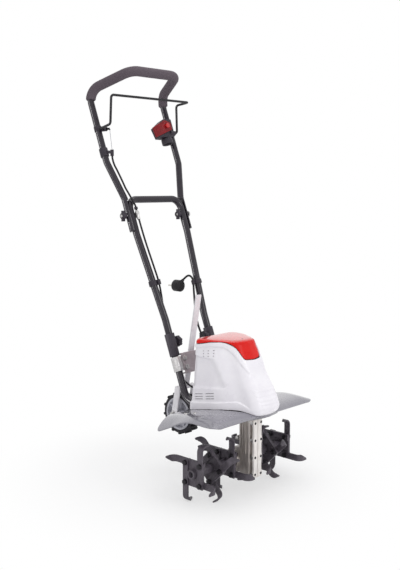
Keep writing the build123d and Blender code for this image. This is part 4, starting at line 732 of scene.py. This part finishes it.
def cowlStack():
    rows = np.array(cowl["rows"], float)
    steps = np.linalg.norm(np.diff(rows[:, [0, 1, 8]], axis=0), axis=1)
    keys = np.concatenate([[0], np.cumsum(steps)])
    return np.array([cowlLoop(hermite(keys, rows, t)) for t in np.linspace(0, keys[-1], cowl["rowSteps"])])


def crossing(column, height):
    # where a column of points first rises above a height that depends on its place
    above = column[:, 2] - height(column[:, 1])
    k = int(np.argmax(above > 0))
    if k == 0:
        return 0.0
    return k - above[k] / (above[k] - above[k - 1])


def columnsBetween(stack, low, high, count):
    # resamples each column of the stack between two places, given as row numbers
    picked = np.zeros((count, stack.shape[1], 3))
    for j in range(stack.shape[1]):
        spots = np.linspace(low[j], high[j], count)
        base = np.clip(spots.astype(int), 0, stack.shape[0] - 2)
        share = (spots - base)[:, None]
        picked[:, j] = stack[base, j] * (1 - share) + stack[base + 1, j] * share
    return picked


def outward(grid):
    around = np.roll(grid, -1, axis=1) - np.roll(grid, 1, axis=1)
    up = np.gradient(grid, axis=0)
    normal = np.cross(around, up)
    return normal / np.maximum(np.linalg.norm(normal, axis=2, keepdims=True), 1e-9)


def insideOf(outline, y, z):
    # signed distance to the panel outline, above 0 inside
    points = [np.array(p, float) for p in outline]
    best = np.full(y.shape, 1e9)
    inside = np.zeros(y.shape, bool)
    for a, b in zip(points, points[1:] + points[:1]):
        run = b - a
        share = np.clip(((y - a[0]) * run[0] + (z - a[1]) * run[1]) / (run @ run), 0, 1)
        best = np.minimum(best, np.hypot(y - a[0] - share * run[0], z - a[1] - share * run[1]))
        crosses = (a[1] > z) != (b[1] > z)
        inside ^= crosses & (y < a[0] + (z - a[1]) / (run[1] + 1e-12) * run[0])
    return np.where(inside, best, -best)


def cowlShape(grid):
    # raised band under the lid, sunk side panel, stepped-out skirt and bars across the nose
    x, y, z = grid[..., 0], grid[..., 1], grid[..., 2]
    normal = outward(grid)
    band = softStep(z - lineAt(cowl["ridge"], y), cowl["ridgeSoft"])
    start, end = cowl["ridgeEnd"]
    band = band * softStep(z - (start + end) / 2, end - start)
    sideways = softStep(np.abs(normal[..., 0]) - cowl["sideFrom"], cowl["sideSoft"])
    sunk = softStep(insideOf(cowl["panel"], y, z), cowl["panelSoft"]) * sideways
    skirt = softStep(lineAt(cowl["skirt"], y) - z, cowl["skirtSoft"])
    skirt = skirt * softStep(y - cowl["skirtFrom"], cowl["skirtFade"])
    bars = sum(softStep(cowl["barTall"] / 2 - np.abs(z - height), cowl["barSoft"])
               * softStep(half - np.abs(x), cowl["barFade"]) for height, half in cowl["bars"]) * (y < cowl["barFront"])
    shift = (cowl["ridgeOut"] * band - cowl["panelIn"] * sunk + cowl["skirtOut"] * skirt
             + cowl["barOut"] * bars)
    return grid + normal * shift[..., None]


stack = cowlStack()
columns = stack.shape[1]


def footHeight(y):
    # just above the shield, and level where the nose reaches past it
    onSheet = lineAt([row[:2] for row in sheet["rows"]], y) + cowl["footGap"]
    return np.where(y < sheet["rows"][0][0], cowl["noseFoot"], onSheet)


def seamHeight(y):
    return lineAt(cowl["seam"], y)


foot = [crossing(stack[:, j], footHeight) for j in range(columns)]
seam = [crossing(stack[:, j], seamHeight) for j in range(columns)]
under = [crossing(stack[:, j], lambda y: seamHeight(y) - cowl["seamGap"]) for j in range(columns)]
bodyGrid = cowlShape(columnsBetween(stack, foot, under, cowl["bodyRows"]))
cowlBody = shell("cowlBody", bodyGrid.reshape(-1, 3), gridFaces(cowl["bodyRows"], columns), cowl["wall"])

# Lid: the same outlines above the seam, a little proud, closed by a low dome
lid = {"proud": 1.0, "roll": 2.0, "dome": 1.4, "rings": 12, "wall": 2.6, "middle": (0.0, 38.0)}
justShort = stack.shape[0] - 1.001  # a hair before the last row
lidGrid = columnsBetween(stack, seam, [justShort] * columns, cowl["lidRows"])
rise = np.linalg.norm(lidGrid - lidGrid[:1], axis=2)
lidGrid = lidGrid + outward(lidGrid) * (lid["proud"] * np.sqrt(np.clip(rise / lid["roll"], 0, 1)))[..., None]
crown = lidGrid[-1]
rings = []
for k in range(1, lid["rings"]):
    share = k / lid["rings"]
    ring = crown.copy()
    ring[:, :2] = crown[:, :2] + (np.array(lid["middle"]) - crown[:, :2]) * share
    ring[:, 2] = crown[:, 2] + lid["dome"] * (1 - (1 - share) ** 2)
    rings.append(ring)
lidPoints = np.concatenate([lidGrid.reshape(-1, 3), *rings, [[*lid["middle"], crown[0, 2] + lid["dome"]]]])
lidRows = cowl["lidRows"] + lid["rings"] - 1
lidFaces = gridFaces(lidRows, columns)
last = (lidRows - 1) * columns
lidFaces += [(last + c, last + (c + 1) % columns, lidRows * columns) for c in range(columns)]
cowlLid = shell("cowlLid", lidPoints, lidFaces, lid["wall"])

# Openings: vent slots on both sides, arches for the frame tubes, holes for the lead and the cable
vents = {
    "low": {"count": (2, 3), "pitch": (39.5, 6.8), "slot": (30.0, 1.5), "middle": (43.0, 268.0), "tilt": -10.0},
    "high": {"count": (3, 3), "pitch": (15.5, 7.2), "slot": (4.2, 2.0), "middle": (42.0, 382.0), "tilt": -8.0},
    "reach": 130.0, "round": 0.6,
}
ways = {"tubeX": 78.0, "tubeZ": 238.0, "tubeR": 12.0, "below": 205.0, "gland": (40.0, 372.0, 6.7),
        "cable": (-45.0, 264.0, 3.0), "from": 60.0, "to": 130.0, "sides": 32}
ventTree, given = growTree("ventSlots", {
    "Columns": "Int", "Rows": "Int", "Run": "Float", "Rise": "Float", "Middle": "Vector", "Slot Length": "Float",
    "Slot Height": "Float", "Slot Round": "Float", "From": "Vector", "To": "Vector", "Tilt": "Float",
    "Finish": "Material"})
spots = put(ventTree, "GeometryNodeMeshGrid", {"Size X": given["Run"], "Size Y": given["Rise"],
                                               "Vertices X": given["Columns"], "Vertices Y": given["Rows"]})
spots = put(ventTree, "GeometryNodeTransform", {"Geometry": spots.outputs["Mesh"],
                                                "Rotation": (math.pi / 2, 0, math.pi / 2)})
outline = put(ventTree, "GeometryNodeCurvePrimitiveQuadrilateral", {"Width": given["Slot Length"],
                                                                    "Height": given["Slot Height"]})
outline = put(ventTree, "GeometryNodeFilletCurve", {"Curve": outline.outputs[0], "Count": 4,
                                                    "Radius": given["Slot Round"]}, mode="POLY")
through = put(ventTree, "GeometryNodeCurvePrimitiveLine", {"Start": given["From"], "End": given["To"]})
slot = put(ventTree, "GeometryNodeCurveToMesh", {"Curve": through.outputs[0], "Profile Curve": outline.outputs[0],
                                                 "Fill Caps": True})
slots = put(ventTree, "GeometryNodeInstanceOnPoints", {"Points": spots.outputs[0], "Instance": slot.outputs[0]})
lean = put(ventTree, "ShaderNodeCombineXYZ", {"X": given["Tilt"]})
slots = put(ventTree, "GeometryNodeTransform", {"Geometry": slots.outputs[0], "Translation": given["Middle"],
                                                "Rotation": lean.outputs[0]})
endTree(ventTree, slots.outputs[0], given["Finish"])


def ventCutter(name, vent):
    reach = vents["reach"] * mm
    return grown(meshObject(name, [], []), ventTree, {
        "Columns": vent["count"][0], "Rows": vent["count"][1],
        "Run": vent["pitch"][0] * (vent["count"][0] - 1) * mm, "Rise": vent["pitch"][1] * (vent["count"][1] - 1) * mm,
        "Middle": at(0, *vent["middle"]), "Slot Length": vent["slot"][0] * mm, "Slot Height": vent["slot"][1] * mm,
        "Slot Round": vents["round"] * mm, "From": (-reach, 0, 0), "To": (reach, 0, 0),
        "Tilt": math.radians(vent["tilt"]), "Finish": paint["white_gloss"]})


def ringOf(x, z, r, turn=2 * math.pi):
    steps = ways["sides"] if turn > math.pi else ways["sides"] // 2 + 1
    spread = np.linspace(0, turn, steps, endpoint=turn <= math.pi)
    return [(x + r * math.cos(t), z + r * math.sin(t)) for t in spread]


wayOutlines = [ringOf(*ways["gland"]), ringOf(*ways["cable"])]
for x in (-ways["tubeX"], ways["tubeX"]):
    arch = ringOf(x, ways["tubeZ"], ways["tubeR"], math.pi)
    wayOutlines.append(arch + [(x - ways["tubeR"], ways["below"]), (x + ways["tubeR"], ways["below"])])
wayCutter = barsObject("wayCutter", [alongY(outline, ways["from"], ways["to"]) for outline in wayOutlines])
baked(cowlBody)
before = len(cowlBody.data.polygons)
cutBy(cowlBody, wayCutter)
for name in ("low", "high"):
    cutBy(cowlBody, ventCutter(name + "Vents", vents[name]), solver="EXACT")
print("openings cut in the cowl:", before, "to", len(cowlBody.data.polygons), "faces")
baked(cowlLid)
for piece, node in ((cowlBody, "cowl"), (cowlLid, "cowl_cover")):
    shade(piece.data, cowl["sharpFrom"])
    place(piece, "chassis", slotOf[node], node)
print("cowl and lid shaped:", len(cowlBody.data.polygons), "and", len(cowlLid.data.polygons), "faces")

# Parting flange of the gearbox: a strip each side of the joint, wider at each bolt, painted pale as a painted
# highlight where the front lamp falls
flange = {"joint": 0.9, "half": 15.5, "swell": 2.5, "swellTall": 8.0, "bolts": (57.0, 104.0, 151.0, 198.0),
          "low": 48.0, "high": 216.0, "front": -67.4, "back": -61.0, "edge": 0.9, "step": 2.0,
          "boltX": (-10.5, 13.0)}
heights = np.arange(flange["low"], flange["high"] + flange["step"] / 2, flange["step"])
swells = sum(np.exp(-((heights - bolt) / flange["swellTall"]) ** 2) for bolt in flange["bolts"])
rim = [(flange["half"] + flange["swell"] * w, z) for w, z in zip(swells, heights)]
strip = [(flange["joint"], flange["high"]), (flange["joint"], flange["low"]), *rim]
gearboxFlange = barsObject("gearboxFlange", [
    alongY([(side * x, z) for x, z in strip], flange["front"], flange["back"]) for side in (-1, 1)])
place(broken(gearboxFlange, flange["edge"]), "chassis", "cast_alloy")
# painted highlight: the strip's pale finish stands in for the front lamp's light on the casting
gearboxFlange.data.materials[0] = paint["flangeHighlight"]

# Domed heads: rivets on the shield, bolts in the flange, and a small dark dome on the lid as painted shade of a small
# hole there
studMesh = {"sides": 24, "rings": 12}
studTree, given = growTree("domedHeads", {
    "Points": "Geometry", "Radius": "Float", "Flat": "Vector", "Sides": "Int", "Finish": "Material"})
dome = put(studTree, "GeometryNodeMeshUVSphere", {"Segments": given["Sides"], "Rings": studMesh["rings"],
                                                   "Radius": given["Radius"]})
dome = put(studTree, "GeometryNodeTransform", {"Geometry": dome.outputs["Mesh"], "Scale": given["Flat"]})
heads = put(studTree, "GeometryNodeInstanceOnPoints", {"Points": given["Points"], "Instance": dome.outputs[0]})
endTree(studTree, heads.outputs[0], given["Finish"])
studs = {
    "shieldRivets": {"spots": [(x, y, sheetHeight(x, y)) for x, y in ((156, 48), (-156, 48), (147, 24), (-147, 24))],
                     "radius": 5.5, "flat": (1, 1, 0.4), "slot": "zinc_steel"},
    "flangeBolts": {"spots": [(x, flange["front"], z) for z in flange["bolts"] for x in flange["boltX"]],
                    "radius": 3.6, "flat": (1, 0.5, 1), "slot": "black_oxide"},
    # painted shade: a black dome where a small hole in the lid shows dark
    "lidHoleShade": {"spots": [(0, -10, 417.4)], "radius": 2.6, "flat": (1.3, 1, 0.5), "slot": "black_plastic"},
}
for name, stud in studs.items():
    heads = grown(meshObject(name, [at(*p) for p in stud["spots"]], []), studTree, {
        "Radius": stud["radius"] * mm, "Flat": stud["flat"], "Sides": studMesh["sides"],
        "Finish": paint[stud["slot"]]})
    shade(heads.data)
    place(heads, "chassis", stud["slot"])
print("flange and studs set")
